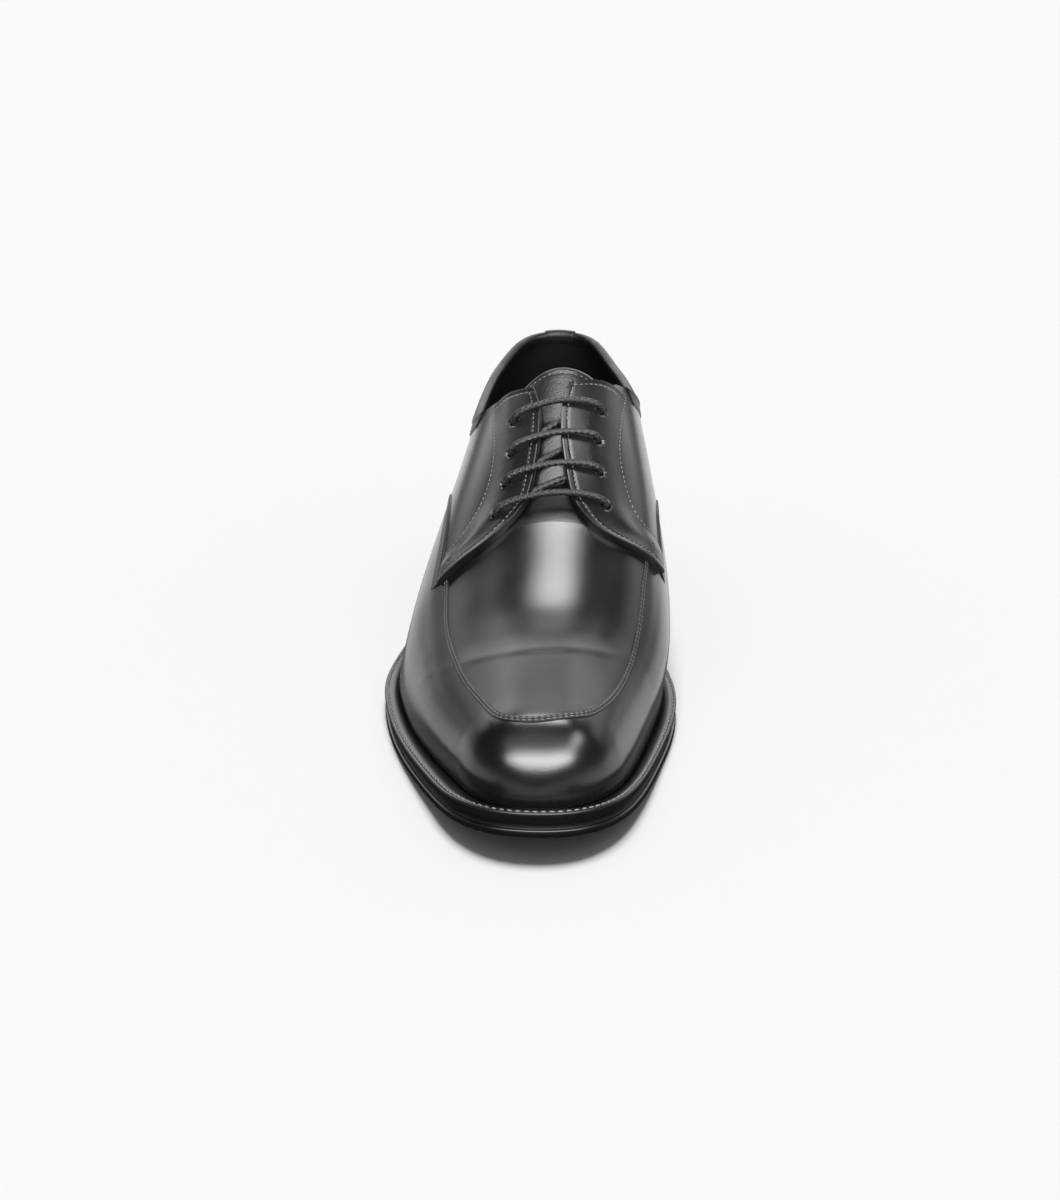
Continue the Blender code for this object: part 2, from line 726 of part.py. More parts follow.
def make_outsole(material):
    rings = []
    for step in OUTSOLE_EDGE:
        rings.append(plate_ring(inset(SOLE_LOOP, step.inset), lambda s: sole_bottom(s) + step.height))
    return plate_solid("outsole", rings, material)


def make_welt(material):
    """A strip round the shoe that carries the upper's edge and the insole."""
    inner = WELT_WIDTH + WALL + WELT_INSIDE
    base = OUTSOLE_THICKNESS + GAP
    loops = []
    for step in (*WELT_EDGE, EdgeStep(inner, WELT_THICKNESS), EdgeStep(inner, 0.0)):
        ring = plate_ring(inset(SOLE_LOOP, step.inset), lambda s: sole_bottom(s) + base + step.height)
        loops.append(np.vstack([ring[0], ring[1][-2:0:-1]]))
    loops = np.array(loops)
    numbers = np.arange(loops.shape[0] * loops.shape[1]).reshape(loops.shape[:2])
    faces = grid_faces(numbers, True) + strip_faces(numbers[-1], numbers[0], True)
    return make_object("welt", loops.reshape(-1, 3), faces, material)


def make_heel(material):
    """A block under the seat, with a flat bottom and a straight breast."""
    rings = []
    for step in HEEL_EDGE:
        loop = inset(SOLE_LOOP, step.inset)
        rings.append(plate_ring(loop, lambda s: (sole_bottom(s) - GAP) * step.share, HEEL_BREAST))
    return plate_solid("heel", rings, material, open_front=True)


def make_insole(material):
    loop = inset(SOLE_LOOP, WELT_WIDTH + WALL + INSOLE_CLEARANCE)
    low = plate_ring(loop, lambda s: welt_top(s) + GAP)
    high = plate_ring(loop, lambda s: welt_top(s) + GAP + INSOLE_THICKNESS)
    return plate_solid("insole", [low, high], material)


def make_upper(material):
    """One leather wall on the last, from the welt to the topline and the throat."""
    around = chord_lengths(np.vstack([FEATHER_LOOP, FEATHER_LOOP[:1]]))
    places = np.linspace(0, around[-1], UPPER_COLUMNS, endpoint=False)
    feet = np.stack([np.interp(places, around[:-1], axis_values) for axis_values in FEATHER_LOOP.T], axis=-1)
    outer = np.stack([column_path(foot, UPPER_ROWS) for foot in feet], axis=1)
    outer[0, :, 2] += GAP
    inner = outer - last_normal(outer) * WALL
    inner[0, :, 2] = outer[0, :, 2]
    return sheet_solid("upper", outer, inner, material, closed=True)


def make_tongue(material):
    """A padded sheet under the vamp and the facings, with a rounded top."""
    along = np.linspace(0, 1, TONGUE_STEPS_LONG)[:, None]
    across = np.linspace(0, 1, TONGUE_STEPS_WIDE)[None, :]
    top = TONGUE_TOP + TONGUE_TOP_CORNER * np.abs(2 * across - 1) ** 3
    s = top + (TONGUE_FRONT - top) * along
    low = TONGUE_TOP_ANGLES[0] + (TONGUE_FRONT_ANGLES[0] - TONGUE_TOP_ANGLES[0]) * along
    high = TONGUE_TOP_ANGLES[1] + (TONGUE_FRONT_ANGLES[1] - TONGUE_TOP_ANGLES[1]) * along
    angle = low + (high - low) * across
    outer = on_last(s, angle, -TONGUE_DEPTH)
    inner = on_last(s, angle, -TONGUE_DEPTH - TONGUE_THICKNESS)
    return sheet_solid("tongue", outer, inner, material)


def facing_grid(rows):
    """Places along the shoe and angles over a facing, from its front edge to its rear edge."""
    table = np.array([row[1:] for row in rows])
    edges = spline(np.arange(len(rows)), table, np.linspace(0, len(rows) - 1, FACING_STEPS_LONG))
    share = np.linspace(0, 1, FACING_STEPS_WIDE)
    s = edges[:, :1] + (edges[:, 2:3] - edges[:, :1]) * share
    angle = edges[:, 1:2] + (edges[:, 3:] - edges[:, 1:2]) * share
    return s, angle


def make_facing(name, rows, holes, material):
    """A reinforced front edge of the quarter, with four lace holes punched through it."""
    s, angle = facing_grid(rows)
    outer = on_last(s, angle, GAP + FACING_THICKNESS)
    inner = on_last(s, angle, GAP)
    facing = sheet_solid(name, outer, inner, material)
    cutter_points = []
    cutter_faces = []
    for hole in holes:
        middle = on_last(hole.s, hole.angle)
        out = last_normal(middle)
        side = np.cross(out, (0.0, 1.0, 0.0))
        ring = ring_about(middle, out, side / np.linalg.norm(side), LACE_HOLE_RADIUS, HOLE_SIDES)
        low = len(cutter_points) + np.arange(HOLE_SIDES)
        high = low + HOLE_SIDES
        cutter_points += list(ring - out * FACING_THICKNESS) + list(ring + out * 2 * FACING_THICKNESS)
        cutter_faces += strip_faces(low, high, True) + [tuple(low), tuple(high)]
    cutter = make_object(name + "_holes", cutter_points, cutter_faces, material)
    cutter.hide_render = True
    cutter.display_type = "WIRE"
    punch = facing.modifiers.new("lace holes", "BOOLEAN")
    punch.operation = "DIFFERENCE"
    punch.solver = "EXACT"
    punch.object = cutter
    return facing


def make_raised_seam(name, points, width, height, steps, material):
    """A low raised band along a line on the upper."""
    table = np.array([(point.s, point.angle) for point in points])
    rough = on_last(table[:, 0], table[:, 1])
    at = chord_lengths(rough)
    line = spline(at, table, np.linspace(0, at[-1], steps))
    middle = on_last(line[:, 0], line[:, 1])
    along = np.gradient(middle, axis=0)
    along /= np.linalg.norm(along, axis=1)[:, None]
    out = last_normal(middle)
    across = np.cross(out, along)
    outer = []
    inner = []
    for place in SEAM_PROFILE:
        beside = middle + across * width * place.across
        foot = beside - height_off_last(beside, out)[:, None] * out
        outer.append(foot + out * (GAP + height * place.rise))
        inner.append(foot + out * GAP)
    return sheet_solid(name, np.array(outer), np.array(inner), material)


def make_collar_band(material):
    """The binding along the topline, from one facing round the heel to the other."""
    lateral = FEATHER_LATERAL[FEATHER_LATERAL[:, 1] < COLLAR_BAND_LATERAL_END]
    medial = FEATHER_MEDIAL[FEATHER_MEDIAL[:, 1] < COLLAR_BAND_MEDIAL_END]
    line = np.vstack([lateral[::-1], medial])
    along = chord_lengths(line)
    places = np.linspace(0, along[-1], COLLAR_BAND_COLUMNS)
    feet = np.stack([np.interp(places, along, axis_values) for axis_values in line.T], axis=-1)
    path = np.stack([column_path(foot, COLLAR_BAND_ROWS, COLLAR_BAND_WIDTH) for foot in feet], axis=1)
    out = last_normal(path)
    outer = path + out * (COLLAR_BAND_GAP + COLLAR_BAND_THICKNESS)
    return sheet_solid("collar_band", outer, path + out * COLLAR_BAND_GAP, material)


def make_heel_tab(material):
    """A strip up the back seam that stands a little over the topline."""
    x = np.linspace(-HEEL_TAB_HALF_WIDTH, HEEL_TAB_HALF_WIDTH, HEEL_TAB_COLUMNS)
    lateral = FEATHER_LATERAL[FEATHER_LATERAL[:, 1] < HEEL_TAB_BACK]
    medial = FEATHER_MEDIAL[FEATHER_MEDIAL[:, 1] < HEEL_TAB_BACK]
    heel = np.vstack([lateral[:0:-1], medial])
    feet = np.c_[x, np.interp(x, heel[:, 0], heel[:, 1])]
    paths = []
    for foot in feet:
        paths.append(column_path(foot, HEEL_TAB_ROWS, HEEL_TAB_LENGTH, HEEL_TAB_OVERHANG))
    path = np.stack(paths, axis=1)
    out = last_normal(path)
    low = COLLAR_BAND_GAP + COLLAR_BAND_THICKNESS + HEEL_TAB_GAP
    return sheet_solid("heel_tab", path + out * (low + HEEL_TAB_THICKNESS), path + out * low, material)


def lace_run(start, end, table):
    """Places, angles and offsets from one hole to another."""
    start, end = np.array(start), np.array(end)
    return [(*(start + (end - start) * point.share), point.offset) for point in table]


def make_lace(material):
    """One cord from the lowest medial hole to the top lateral one, bars on top and slanting runs beneath."""
    lateral = LACE_HOLES_LATERAL[::-1]
    medial = LACE_HOLES_MEDIAL[::-1]
    rows = []
    for i, (near, far) in enumerate(zip(medial, lateral)):
        rows += lace_run(near, far, LACE_BAR)
        if i + 1 < len(medial):
            rows += lace_run(far, medial[i + 1], LACE_CROSSING)
    s, angle, offset = np.array(rows).T
    route = open_curve(on_last(s, angle, offset), int(LACE_RINGS_PER_POINT * len(rows)))
    return tube_solid("lace", route, LACE_RADIUS, LACE_SIDES, material)


def main():
    for old in list(bpy.data.objects):
        bpy.data.objects.remove(old, do_unlink=True)
    make_outsole(black("outsole", 0.012, 0.5))
    make_welt(black("welt", 0.02, 0.45))
    make_heel(black("heel", 0.012, 0.5))
    make_insole(black("insole", 0.02, 0.7))
    make_upper(black("upper", 0.015, 0.3))
    make_tongue(black("tongue", 0.015, 0.35))
    facings = (
        ("facing_lateral", FACING_LATERAL, LACE_HOLES_LATERAL),
        ("facing_medial", FACING_MEDIAL, LACE_HOLES_MEDIAL),
    )
    for name, rows, holes in facings:
        make_facing(name, rows, holes, black(name, 0.015, 0.3))
    seams = (
        ("apron_seam", APRON_SEAM, APRON_SEAM_WIDTH, APRON_SEAM_HEIGHT, APRON_SEAM_STEPS),
        ("wing_lateral", WING_LATERAL, WING_SEAM_WIDTH, WING_SEAM_HEIGHT, WING_SEAM_STEPS),
        ("wing_medial", WING_MEDIAL, WING_SEAM_WIDTH, WING_SEAM_HEIGHT, WING_SEAM_STEPS),
    )
    for name, points, width, height, steps in seams:
        make_raised_seam(name, points, width, height, steps, black(name, 0.02, 0.35))
    make_collar_band(black("collar_band", 0.015, 0.35))
    make_heel_tab(black("heel_tab", 0.02, 0.35))
    make_lace(black("lace", 0.02, 0.8))


main()
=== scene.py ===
"""Looks of the moc toe lace-up: leather, stitching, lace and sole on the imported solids, in a pale studio.

Lengths here are millimetres, as in the part's source, and world() turns them into Blender's metres.
A point of the shoe is (x, s, z): x towards the medial side, s forward from the back of the heel, z up.
"""

from collections import namedtuple

import bmesh
import bpy
import numpy as np
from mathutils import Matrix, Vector

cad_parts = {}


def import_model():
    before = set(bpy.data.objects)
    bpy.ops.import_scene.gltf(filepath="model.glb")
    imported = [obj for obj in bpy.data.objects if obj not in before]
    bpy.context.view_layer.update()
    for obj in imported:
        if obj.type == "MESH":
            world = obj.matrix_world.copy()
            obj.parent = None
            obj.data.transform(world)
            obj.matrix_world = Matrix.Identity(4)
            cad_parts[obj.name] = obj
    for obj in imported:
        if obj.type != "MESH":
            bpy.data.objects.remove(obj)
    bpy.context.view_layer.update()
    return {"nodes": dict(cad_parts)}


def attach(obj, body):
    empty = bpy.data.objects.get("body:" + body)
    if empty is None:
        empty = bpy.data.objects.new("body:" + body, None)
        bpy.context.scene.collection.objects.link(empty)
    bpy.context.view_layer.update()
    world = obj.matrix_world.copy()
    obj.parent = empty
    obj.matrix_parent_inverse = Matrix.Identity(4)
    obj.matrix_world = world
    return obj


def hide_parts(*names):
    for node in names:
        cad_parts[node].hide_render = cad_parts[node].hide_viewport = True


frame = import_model()

# Driving dimensions
MM = 0.001
LENGTH = 302.0
TOE_SPRING = 10.0
SEAT_RISE = 18.0
SEAT_PITCH = 3.0
SEAT_PITCH_LENGTH = 110.0
SEAT_FRONT = 72.0
FLAT_REAR = 186.0
FLAT_FRONT = 222.0
TOE_SPRING_POWER = 1.7
OUTSOLE_THICKNESS = 4.3
WELT_THICKNESS = 4.4
GAP = 0.3
WALL = 2.0
FACING_THICKNESS = 1.7
TONGUE_THICKNESS = 2.6
TONGUE_DEPTH = 2.9
HEEL_BREAST = 76.0
LACE_RADIUS = 1.15
SOLE_EDGE = OUTSOLE_THICKNESS + GAP + WELT_THICKNESS

LOOP_SAMPLES = 2400
SHARP_ANGLE = np.radians(40.0)
PROBE = 0.05


def rows_of(kind, *rows):
    """A table whose rows all have the kind's named columns."""
    return tuple(kind(*row) for row in rows)


OutlinePoint = namedtuple("OutlinePoint", "place x s")
SOLE_OUTLINE = rows_of(
    OutlinePoint,
    ("heel back", 0.0, 0.0),
    ("heel lateral corner", -22.0, 7.5),
    ("heel lateral side", -33.0, 32.0),
    ("heel lateral front", -34.5, 66.0),
    ("waist lateral", -38.5, 108.0),
    ("joint lateral rear", -48.5, 150.0),
    ("joint lateral", -56.8, 188.0),
    ("toe lateral rear", -53.8, 214.0),
    ("toe lateral middle", -45.4, 242.0),
    ("toe lateral front", -34.0, 270.0),
    ("toe lateral corner", -23.3, 289.8),
    ("toe lateral tip", -12.0, 299.2),
    ("toe tip", 1.4, LENGTH),
    ("toe medial tip", 14.5, 299.2),
    ("toe medial corner", 25.3, 290.0),
    ("toe medial front", 33.8, 272.0),
    ("toe medial middle", 41.5, 241.0),
    ("joint medial", 47.5, 203.0),
    ("joint medial rear", 44.5, 176.0),
    ("arch medial front", 35.0, 143.0),
    ("arch medial", 29.5, 108.0),
    ("arch medial rear", 30.5, 76.0),
    ("heel medial side", 32.0, 36.0),
    ("heel medial corner", 21.5, 7.5),
)

# How far the welt stands out from the upper on each side, along the shoe
WeltWidth = namedtuple("WeltWidth", "s lateral medial")
WELT_WIDTHS = rows_of(
    WeltWidth,
    (0.0, 3.2, 3.2),
    (90.0, 3.0, 3.0),
    (130.0, 3.4, 3.4),
    (180.0, 4.8, 4.8),
    (230.0, 6.0, 5.6),
    (275.0, 7.6, 5.0),
    (LENGTH, 6.4, 6.4),
)

# The last's top line, from the toe's tip back over the instep; behind the collar it only shapes the walls
RidgePoint = namedtuple("RidgePoint", "place s z")
RIDGE = rows_of(
    RidgePoint,
    ("tip", 295.7, 17.6),
    ("toe wall", 295.4, 23.6),
    ("toe turn", 294.3, 29.0),
    ("toe crown", 292.0, 33.2),
    ("crown top", 288.5, 36.6),
    ("apron front", 283.4, 40.1),
    ("apron", 276.0, 42.4),
    ("toe top", 262.0, 45.9),
    ("vamp front", 243.0, 50.8),
    ("vamp low", 230.0, 55.1),
    ("vamp", 218.0, 60.7),
    ("throat", 197.0, 71.5),
    ("instep low", 175.0, 85.0),
    ("instep", 150.0, 101.0),
    ("instep top", 125.0, 117.0),
    ("cone", 100.0, 130.0),
    ("cone back", 78.0, 131.0),
    ("heel front", 58.0, 119.0),
    ("heel top", 36.0, 106.0),
    ("heel back", 0.0, 102.0),
)

# Cross sections of the last: how far each side bulges past the welt's line and how high up, how full each
# side is, how round the top is, and where the top line lies across the shoe
Section = namedtuple(
    "Section",
    "s lateral_bulge medial_bulge bulge_height lateral_fullness medial_fullness roundness ridge_x",
)
SECTIONS = rows_of(
    Section,
    (0.0, 2.0, 2.0, 22.0, 2.0, 2.0, 2.0, 0.0),
    (40.0, 2.5, 3.0, 24.0, 2.1, 2.1, 2.0, 1.0),
    (80.0, 2.5, 8.5, 30.0, 2.0, 2.4, 2.0, 3.0),
    (120.0, 2.5, 13.0, 34.0, 1.8, 2.6, 2.0, 4.5),
    (150.0, 2.8, 11.5, 32.0, 1.7, 2.7, 2.0, 5.0),
    (180.0, 1.0, 6.0, 26.0, 1.5, 2.5, 2.05, 5.0),
    (210.0, 0.0, 2.8, 20.0, 1.4, 2.2, 2.1, 4.5),
    (240.0, 0.8, 1.8, 13.0, 1.5, 1.75, 2.3, 3.5),
    (270.0, 1.4, 1.4, 9.0, 1.6, 1.6, 2.7, 2.8),
    (LENGTH, 1.2, 1.2, 8.0, 2.0, 2.0, 4.4, 2.0),
)

# The back of the heel: how far it leans forward at a height above the welt
HeelBack = namedtuple("HeelBack", "height forward")
HEEL_BACK = rows_of(
    HeelBack,
    (0.0, 0.0),
    (12.0, -1.5),
    (25.0, -1.8),
    (45.0, 1.3),
    (65.0, 5.5),
    (90.0, 11.0),
)
HEEL_LEAN_LENGTH = 95.0
BULGE_FADE = 12.0
END_RADIUS = 20.0

# Height of the topline on each side, from the back of the heel to the top of the facing
Topline = namedtuple("Topline", "s lateral_z medial_z")
TOPLINE = rows_of(
    Topline,
    (0.0, 89.5, 89.5),
    (20.0, 87.5, 87.5),
    (40.0, 83.0, 84.0),
    (60.0, 80.0, 82.5),
    (80.0, 78.5, 82.0),
    (95.0, 79.0, 84.5),
    (110.0, 81.5, 90.5),
    (120.0, 85.0, 96.5),
    (130.0, 91.0, 102.0),
    (137.0, 98.0, 106.0),
    (143.0, 104.0, 109.0),
    (160.0, 121.0, 122.0),
    (LENGTH, 250.0, 250.0),
)

# The opening under the facings, as angles about the last's middle line (0 is up, lateral is negative)
ThroatEdge = namedtuple("ThroatEdge", "s lateral medial")
THROAT = rows_of(
    ThroatEdge,
    (130.0, -17.5, 15.0),
    (153.0, -17.5, 14.5),
    (166.0, -19.5, 15.0),
    (178.0, -23.0, 18.0),
    (189.0, -32.0, 25.0),
    (200.0, -36.0, 28.0),
)
THROAT_FRONT = 195.5
THROAT_REAR = 140.0
THROAT_SQUARENESS = 6.0

# Facing edges from the top of the throat to the corner on the side, as places along the shoe and angles
FacingRow = namedtuple("FacingRow", "place front_s front_angle rear_s rear_angle")
FACING_LATERAL = rows_of(
    FacingRow,
    ("top", 143.5, -7.5, 134.5, -22.5),
    ("first hole", 153.0, -6.0, 149.0, -22.5),
    ("second hole", 165.0, -6.5, 161.5, -23.5),
    ("third hole", 178.0, -8.5, 171.5, -26.5),
    ("fourth hole", 188.5, -12.5, 178.5, -32.0),
    ("bend", 195.0, -21.5, 182.0, -38.5),
    ("front", 198.0, -35.0, 183.5, -45.0),
    ("corner", 196.5, -59.0, 183.0, -52.5),
)
FACING_MEDIAL = rows_of(
    FacingRow,
    ("top", 143.5, 1.5, 129.5, 20.5),
    ("first hole", 152.0, 0.0, 146.0, 19.5),
    ("second hole", 164.0, 0.0, 158.5, 20.0),
    ("third hole", 177.0, 2.0, 168.0, 23.0),
    ("fourth hole", 188.0, 5.5, 175.5, 28.5),
    ("bend", 195.0, 13.0, 177.5, 34.0),
    ("front", 196.5, 27.0, 176.0, 39.5),
    ("corner", 186.5, 54.0, 172.0, 47.0),
)

# Lace holes of each facing from the top down, by the same two numbers
LaceHole = namedtuple("LaceHole", "s angle")
LACE_HOLES_LATERAL = rows_of(
    LaceHole,
    (153.7, -14.0),
    (166.3, -15.5),
    (177.6, -18.5),
    (188.0, -24.0),
)
LACE_HOLES_MEDIAL = rows_of(
    LaceHole,
    (150.0, 11.0),
    (162.5, 11.0),
    (174.4, 13.0),
    (186.0, 17.5),
)

# The lace's height off the last between two holes: over the facings in a bar, under them in a crossing
LACE_OVER = GAP + FACING_THICKNESS + GAP + LACE_RADIUS
LACE_UNDER = -LACE_RADIUS
LACE_IN_HOLE = GAP + FACING_THICKNESS / 2
LacePoint = namedtuple("LacePoint", "share offset")
LACE_BAR = rows_of(
    LacePoint,
    (0.0, LACE_IN_HOLE),
    (0.03, LACE_OVER - 0.5),
    (0.1, LACE_OVER + 0.3),
    (0.3, LACE_OVER + 0.1),
    (0.5, LACE_OVER),
    (0.7, LACE_OVER + 0.1),
    (0.9, LACE_OVER + 0.3),
    (0.97, LACE_OVER - 0.5),
    (1.0, LACE_IN_HOLE),
)
LACE_CROSSING = rows_of(
    LacePoint,
    (0.03, LACE_UNDER + 0.5),
    (0.12, LACE_UNDER),
    (0.5, LACE_UNDER),
    (0.88, LACE_UNDER),
    (0.97, LACE_UNDER + 0.5),
)

# The apron's raised seam, from the lateral facing round the toe to the medial facing
SeamPoint = namedtuple("SeamPoint", "s angle")
APRON_SEAM = rows_of(
    SeamPoint,
    (200.8, -57.7),
    (214.7, -61.0),
    (225.7, -61.0),
    (238.6, -58.9),
    (253.8, -54.8),
    (267.5, -46.6),
    (274.9, -40.6),
    (280.0, -32.0),
    (282.1, -18.5),
    (282.0, 3.0),
    (278.9, 28.0),
    (274.6, 39.2),
    (268.9, 45.8),
    (259.2, 52.5),
    (243.8, 57.1),
    (231.6, 56.5),
    (220.8, 53.6),
    (212.6, 50.7),
    (199.6, 46.5),
)
WING_LATERAL = rows_of(
    SeamPoint,
    (180.0, -52.5),
    (168.0, -49.0),
    (154.0, -48.5),
    (142.0, -52.0),
    (131.0, -64.0),
    (122.0, -84.0),
    (116.0, -102.0),
)
WING_MEDIAL = rows_of(
    SeamPoint,
    (169.5, 48.5),
    (160.0, 45.5),
    (149.0, 46.0),
    (138.0, 51.0),
    (128.0, 64.0),
    (120.0, 84.0),
    (114.0, 101.0),
)

COLLAR_BAND_LATERAL_END = 130.0
COLLAR_BAND_MEDIAL_END = 125.0
HEEL_TAB_HALF_WIDTH = 7.5
HEEL_TAB_BACK = 20.0

TONGUE_TOP = 133.0
TONGUE_TOP_CORNER = 9.0
TONGUE_CORNER_POWER = 3
TONGUE_FRONT = 207.0
TONGUE_TOP_ANGLES = (-19.0, 26.0)
TONGUE_FRONT_ANGLES = (-34.0, 30.0)

# Middle lines of the upper's rays: round the heel, across the waist, and round the toe
HEEL_AXIS = 40.0
TOE_AXIS = 172.0
SPINE_LIFT = 0.25
SPINE_LIFT_MOST = 15.0
TOE_AXIS_LIFT = 15.0
STEEPEST_RAY = np.radians(88.0)
RAY_SPREAD = 1.8
RAY_REACH = 260.0
BISECTIONS = 44


def spline(knots, values, at):
    """A natural cubic spline through one row of values at each knot, read at the places given."""
    knots = np.asarray(knots, float)
    values = np.asarray(values, float)
    step = np.diff(knots)
    slope = np.diff(values, axis=0) / step[:, None]
    size = len(knots)
    matrix = np.eye(size)
    right = np.zeros_like(values)
    for i in range(1, size - 1):
        matrix[i, i - 1 : i + 2] = step[i - 1], 2 * (step[i - 1] + step[i]), step[i]
        right[i] = 6 * (slope[i] - slope[i - 1])
    bend = np.linalg.solve(matrix, right)
    at = np.asarray(at, float)
    i = np.clip(np.searchsorted(knots, at) - 1, 0, size - 2)
    before = (at - knots[i])[:, None]
    after = (knots[i + 1] - at)[:, None]
    width = step[i][:, None]
    cubic = (bend[i] * after**3 + bend[i + 1] * before**3) / (6 * width)
    left = (values[i] / width - bend[i] * width / 6) * after
    return cubic + left + (values[i + 1] / width - bend[i + 1] * width / 6) * before


def lengths_along(points, axis=0):
    """Lengths along a line of points, or along the lines of a grid that run down the axis given."""
    steps = np.linalg.norm(np.diff(points, axis=axis), axis=-1)
    start = np.zeros_like(np.take(steps, [0], axis=axis))
    return np.concatenate([start, np.cumsum(steps, axis=axis)], axis=axis)


def read_line(line, at, places):
    """Points of a line at the lengths given; at holds the length at each of its points."""
    return np.stack([np.interp(places, at, values) for values in line.T], axis=-1)


def unit(vectors):
    return vectors / np.linalg.norm(vectors, axis=-1, keepdims=True)


def open_curve(points, count):
    """Points on a smooth curve through the ones given."""
    points = np.asarray(points, float)
    at = lengths_along(points)
    return spline(at, points, np.linspace(0, at[-1], count))


def closed_curve(points, count):
    points = np.asarray(points, float)
    wrap = 4
    wrapped = np.vstack([points[-wrap:], points, points[: wrap + 1]])
    at = lengths_along(wrapped)
    places = np.linspace(at[wrap], at[wrap + len(points)], count, endpoint=False)
    return spline(at, wrapped, places)


def columns(rows, *names):
    """The named columns of a table, as arrays."""
    return [np.array([getattr(row, name) for row in rows], float) for name in names]


def smooth_step(t):
    t = np.clip(t, 0, 1)
    return t * t * (3 - 2 * t)


# Plan outlines


def inset(loop, distance):
    """The loop moved inwards; it runs from the heel along the lateral side to the toe and back."""
    along = unit(np.roll(loop, -1, axis=0) - np.roll(loop, 1, axis=0))
    inward = np.c_[along[:, 1], -along[:, 0]]
    return loop + inward * np.broadcast_to(distance, len(loop))[:, None]


def halves(loop):
    """The lateral and the medial side of a loop, each from heel to toe."""
    heel = np.argmin(loop[:, 1])
    loop = np.roll(loop, -heel, axis=0)
    toe = np.argmax(loop[:, 1])
    lateral = loop[: toe + 1]
    medial = np.vstack([loop[toe:], loop[:1]])[::-1]
    return lateral, medial


SOLE_LOOP = closed_curve([(point.x, point.s) for point in SOLE_OUTLINE], LOOP_SAMPLES)
WELT_LATERAL = np.interp(SOLE_LOOP[:, 1], *columns(WELT_WIDTHS, "s", "lateral"))
WELT_MEDIAL = np.interp(SOLE_LOOP[:, 1], *columns(WELT_WIDTHS, "s", "medial"))
WELT_WIDTH = np.where(SOLE_LOOP[:, 0] < 0, WELT_LATERAL, WELT_MEDIAL)
FEATHER_LOOP = inset(SOLE_LOOP, WELT_WIDTH)
FEATHER_LATERAL, FEATHER_MEDIAL = halves(FEATHER_LOOP)
CENTRE_X = (SOLE_LOOP[:, 0].min() + SOLE_LOOP[:, 0].max()) / 2


# Heights along the sole


def sole_bottom(s):
    toe = np.clip((s - FLAT_FRONT) / (LENGTH - FLAT_FRONT), 0, None)
    seat = SEAT_RISE * smooth_step((FLAT_REAR - s) / (FLAT_REAR - SEAT_FRONT))
    pitch = SEAT_PITCH * smooth_step((SEAT_PITCH_LENGTH - s) / SEAT_PITCH_LENGTH)
    return TOE_SPRING * toe**TOE_SPRING_POWER + seat + pitch


def welt_top(s):
    return sole_bottom(s) + SOLE_EDGE


# The last


RIDGE_CURVE = open_curve([(point.s, point.z) for point in RIDGE], LOOP_SAMPLES)[::-1]
SECTION_S = np.linspace(0, LENGTH, LOOP_SAMPLES)
SECTION_TABLE = np.array([row[1:] for row in SECTIONS])
SECTION_CURVES = spline(columns(SECTIONS, "s")[0], SECTION_TABLE, SECTION_S)
HEEL_HEIGHTS = np.linspace(0, HEEL_BACK[-1].height, LOOP_SAMPLES)
HEEL_TABLE = np.array([[row.forward] for row in HEEL_BACK])
HEEL_CURVE = spline(columns(HEEL_BACK, "height")[0], HEEL_TABLE, HEEL_HEIGHTS)[:, 0]


def section_at(s):
    return Section(s, *[np.interp(s, SECTION_S, curve) for curve in SECTION_CURVES.T])


def ridge_height(s):
    return np.interp(s, RIDGE_CURVE[:, 0], RIDGE_CURVE[:, 1])


def last_shape(point):
    """Below zero inside the last, above zero outside it."""
    x, s, z = np.moveaxis(point, -1, 0)
    row = section_at(s)
    height = z - welt_top(s)
    lean = np.interp(height, HEEL_HEIGHTS, HEEL_CURVE) * np.clip(1 - s / HEEL_LEAN_LENGTH, 0, 1) ** 2
    place = s - lean
    heel_end, toe_end = FEATHER_LATERAL[0, 1], FEATHER_LATERAL[-1, 1]
    to_end = np.minimum(place - heel_end, toe_end - place)
    swell = smooth_step(height / row.bulge_height) * np.sqrt(np.clip(to_end / BULGE_FADE, 0, 1))
    lateral = row.ridge_x - np.interp(place, FEATHER_LATERAL[:, 1], FEATHER_LATERAL[:, 0])
    medial = np.interp(place, FEATHER_MEDIAL[:, 1], FEATHER_MEDIAL[:, 0]) - row.ridge_x
    across = x - row.ridge_x
    on_lateral = across < 0
    lateral = lateral + row.lateral_bulge * swell
    medial = medial + row.medial_bulge * swell
    half_width = np.maximum(np.where(on_lateral, lateral, medial), 0.0)
    fullness = np.where(on_lateral, row.lateral_fullness, row.medial_fullness)
    top = np.maximum(ridge_height(s) - welt_top(s), MM)
    closing = 1 - (np.maximum(height, 0) / top) ** fullness
    inside = half_width**row.roundness * closing
    past_end = -((2 * END_RADIUS * np.maximum(-to_end, 0)) ** (row.roundness / 2))
    return np.abs(across) ** row.roundness - np.where(to_end < 0, past_end, inside)


def last_normal(point):
    """The outward direction at points of the last's surface."""
    slopes = []
    for step in np.eye(3) * PROBE:
        slopes.append(last_shape(point + step) - last_shape(point - step))
    return unit(np.stack(slopes, axis=-1))


def cast(origin, direction):
    """Where rays from inside the last leave it."""
    near = np.zeros(direction.shape[:-1])
    far = np.full(direction.shape[:-1], RAY_REACH)
    for _ in range(BISECTIONS):
        middle = (near + far) / 2
        inside = last_shape(origin + direction * middle[..., None]) < 0
        near = np.where(inside, middle, near)
        far = np.where(inside, far, middle)
    return origin + direction * near[..., None]


def spine(s):
    """The middle line that angles are measured about."""
    lift = np.minimum(SPINE_LIFT * (ridge_height(s) - welt_top(s)), SPINE_LIFT_MOST)
    return np.stack([section_at(s).ridge_x, s, welt_top(s) + lift], axis=-1)


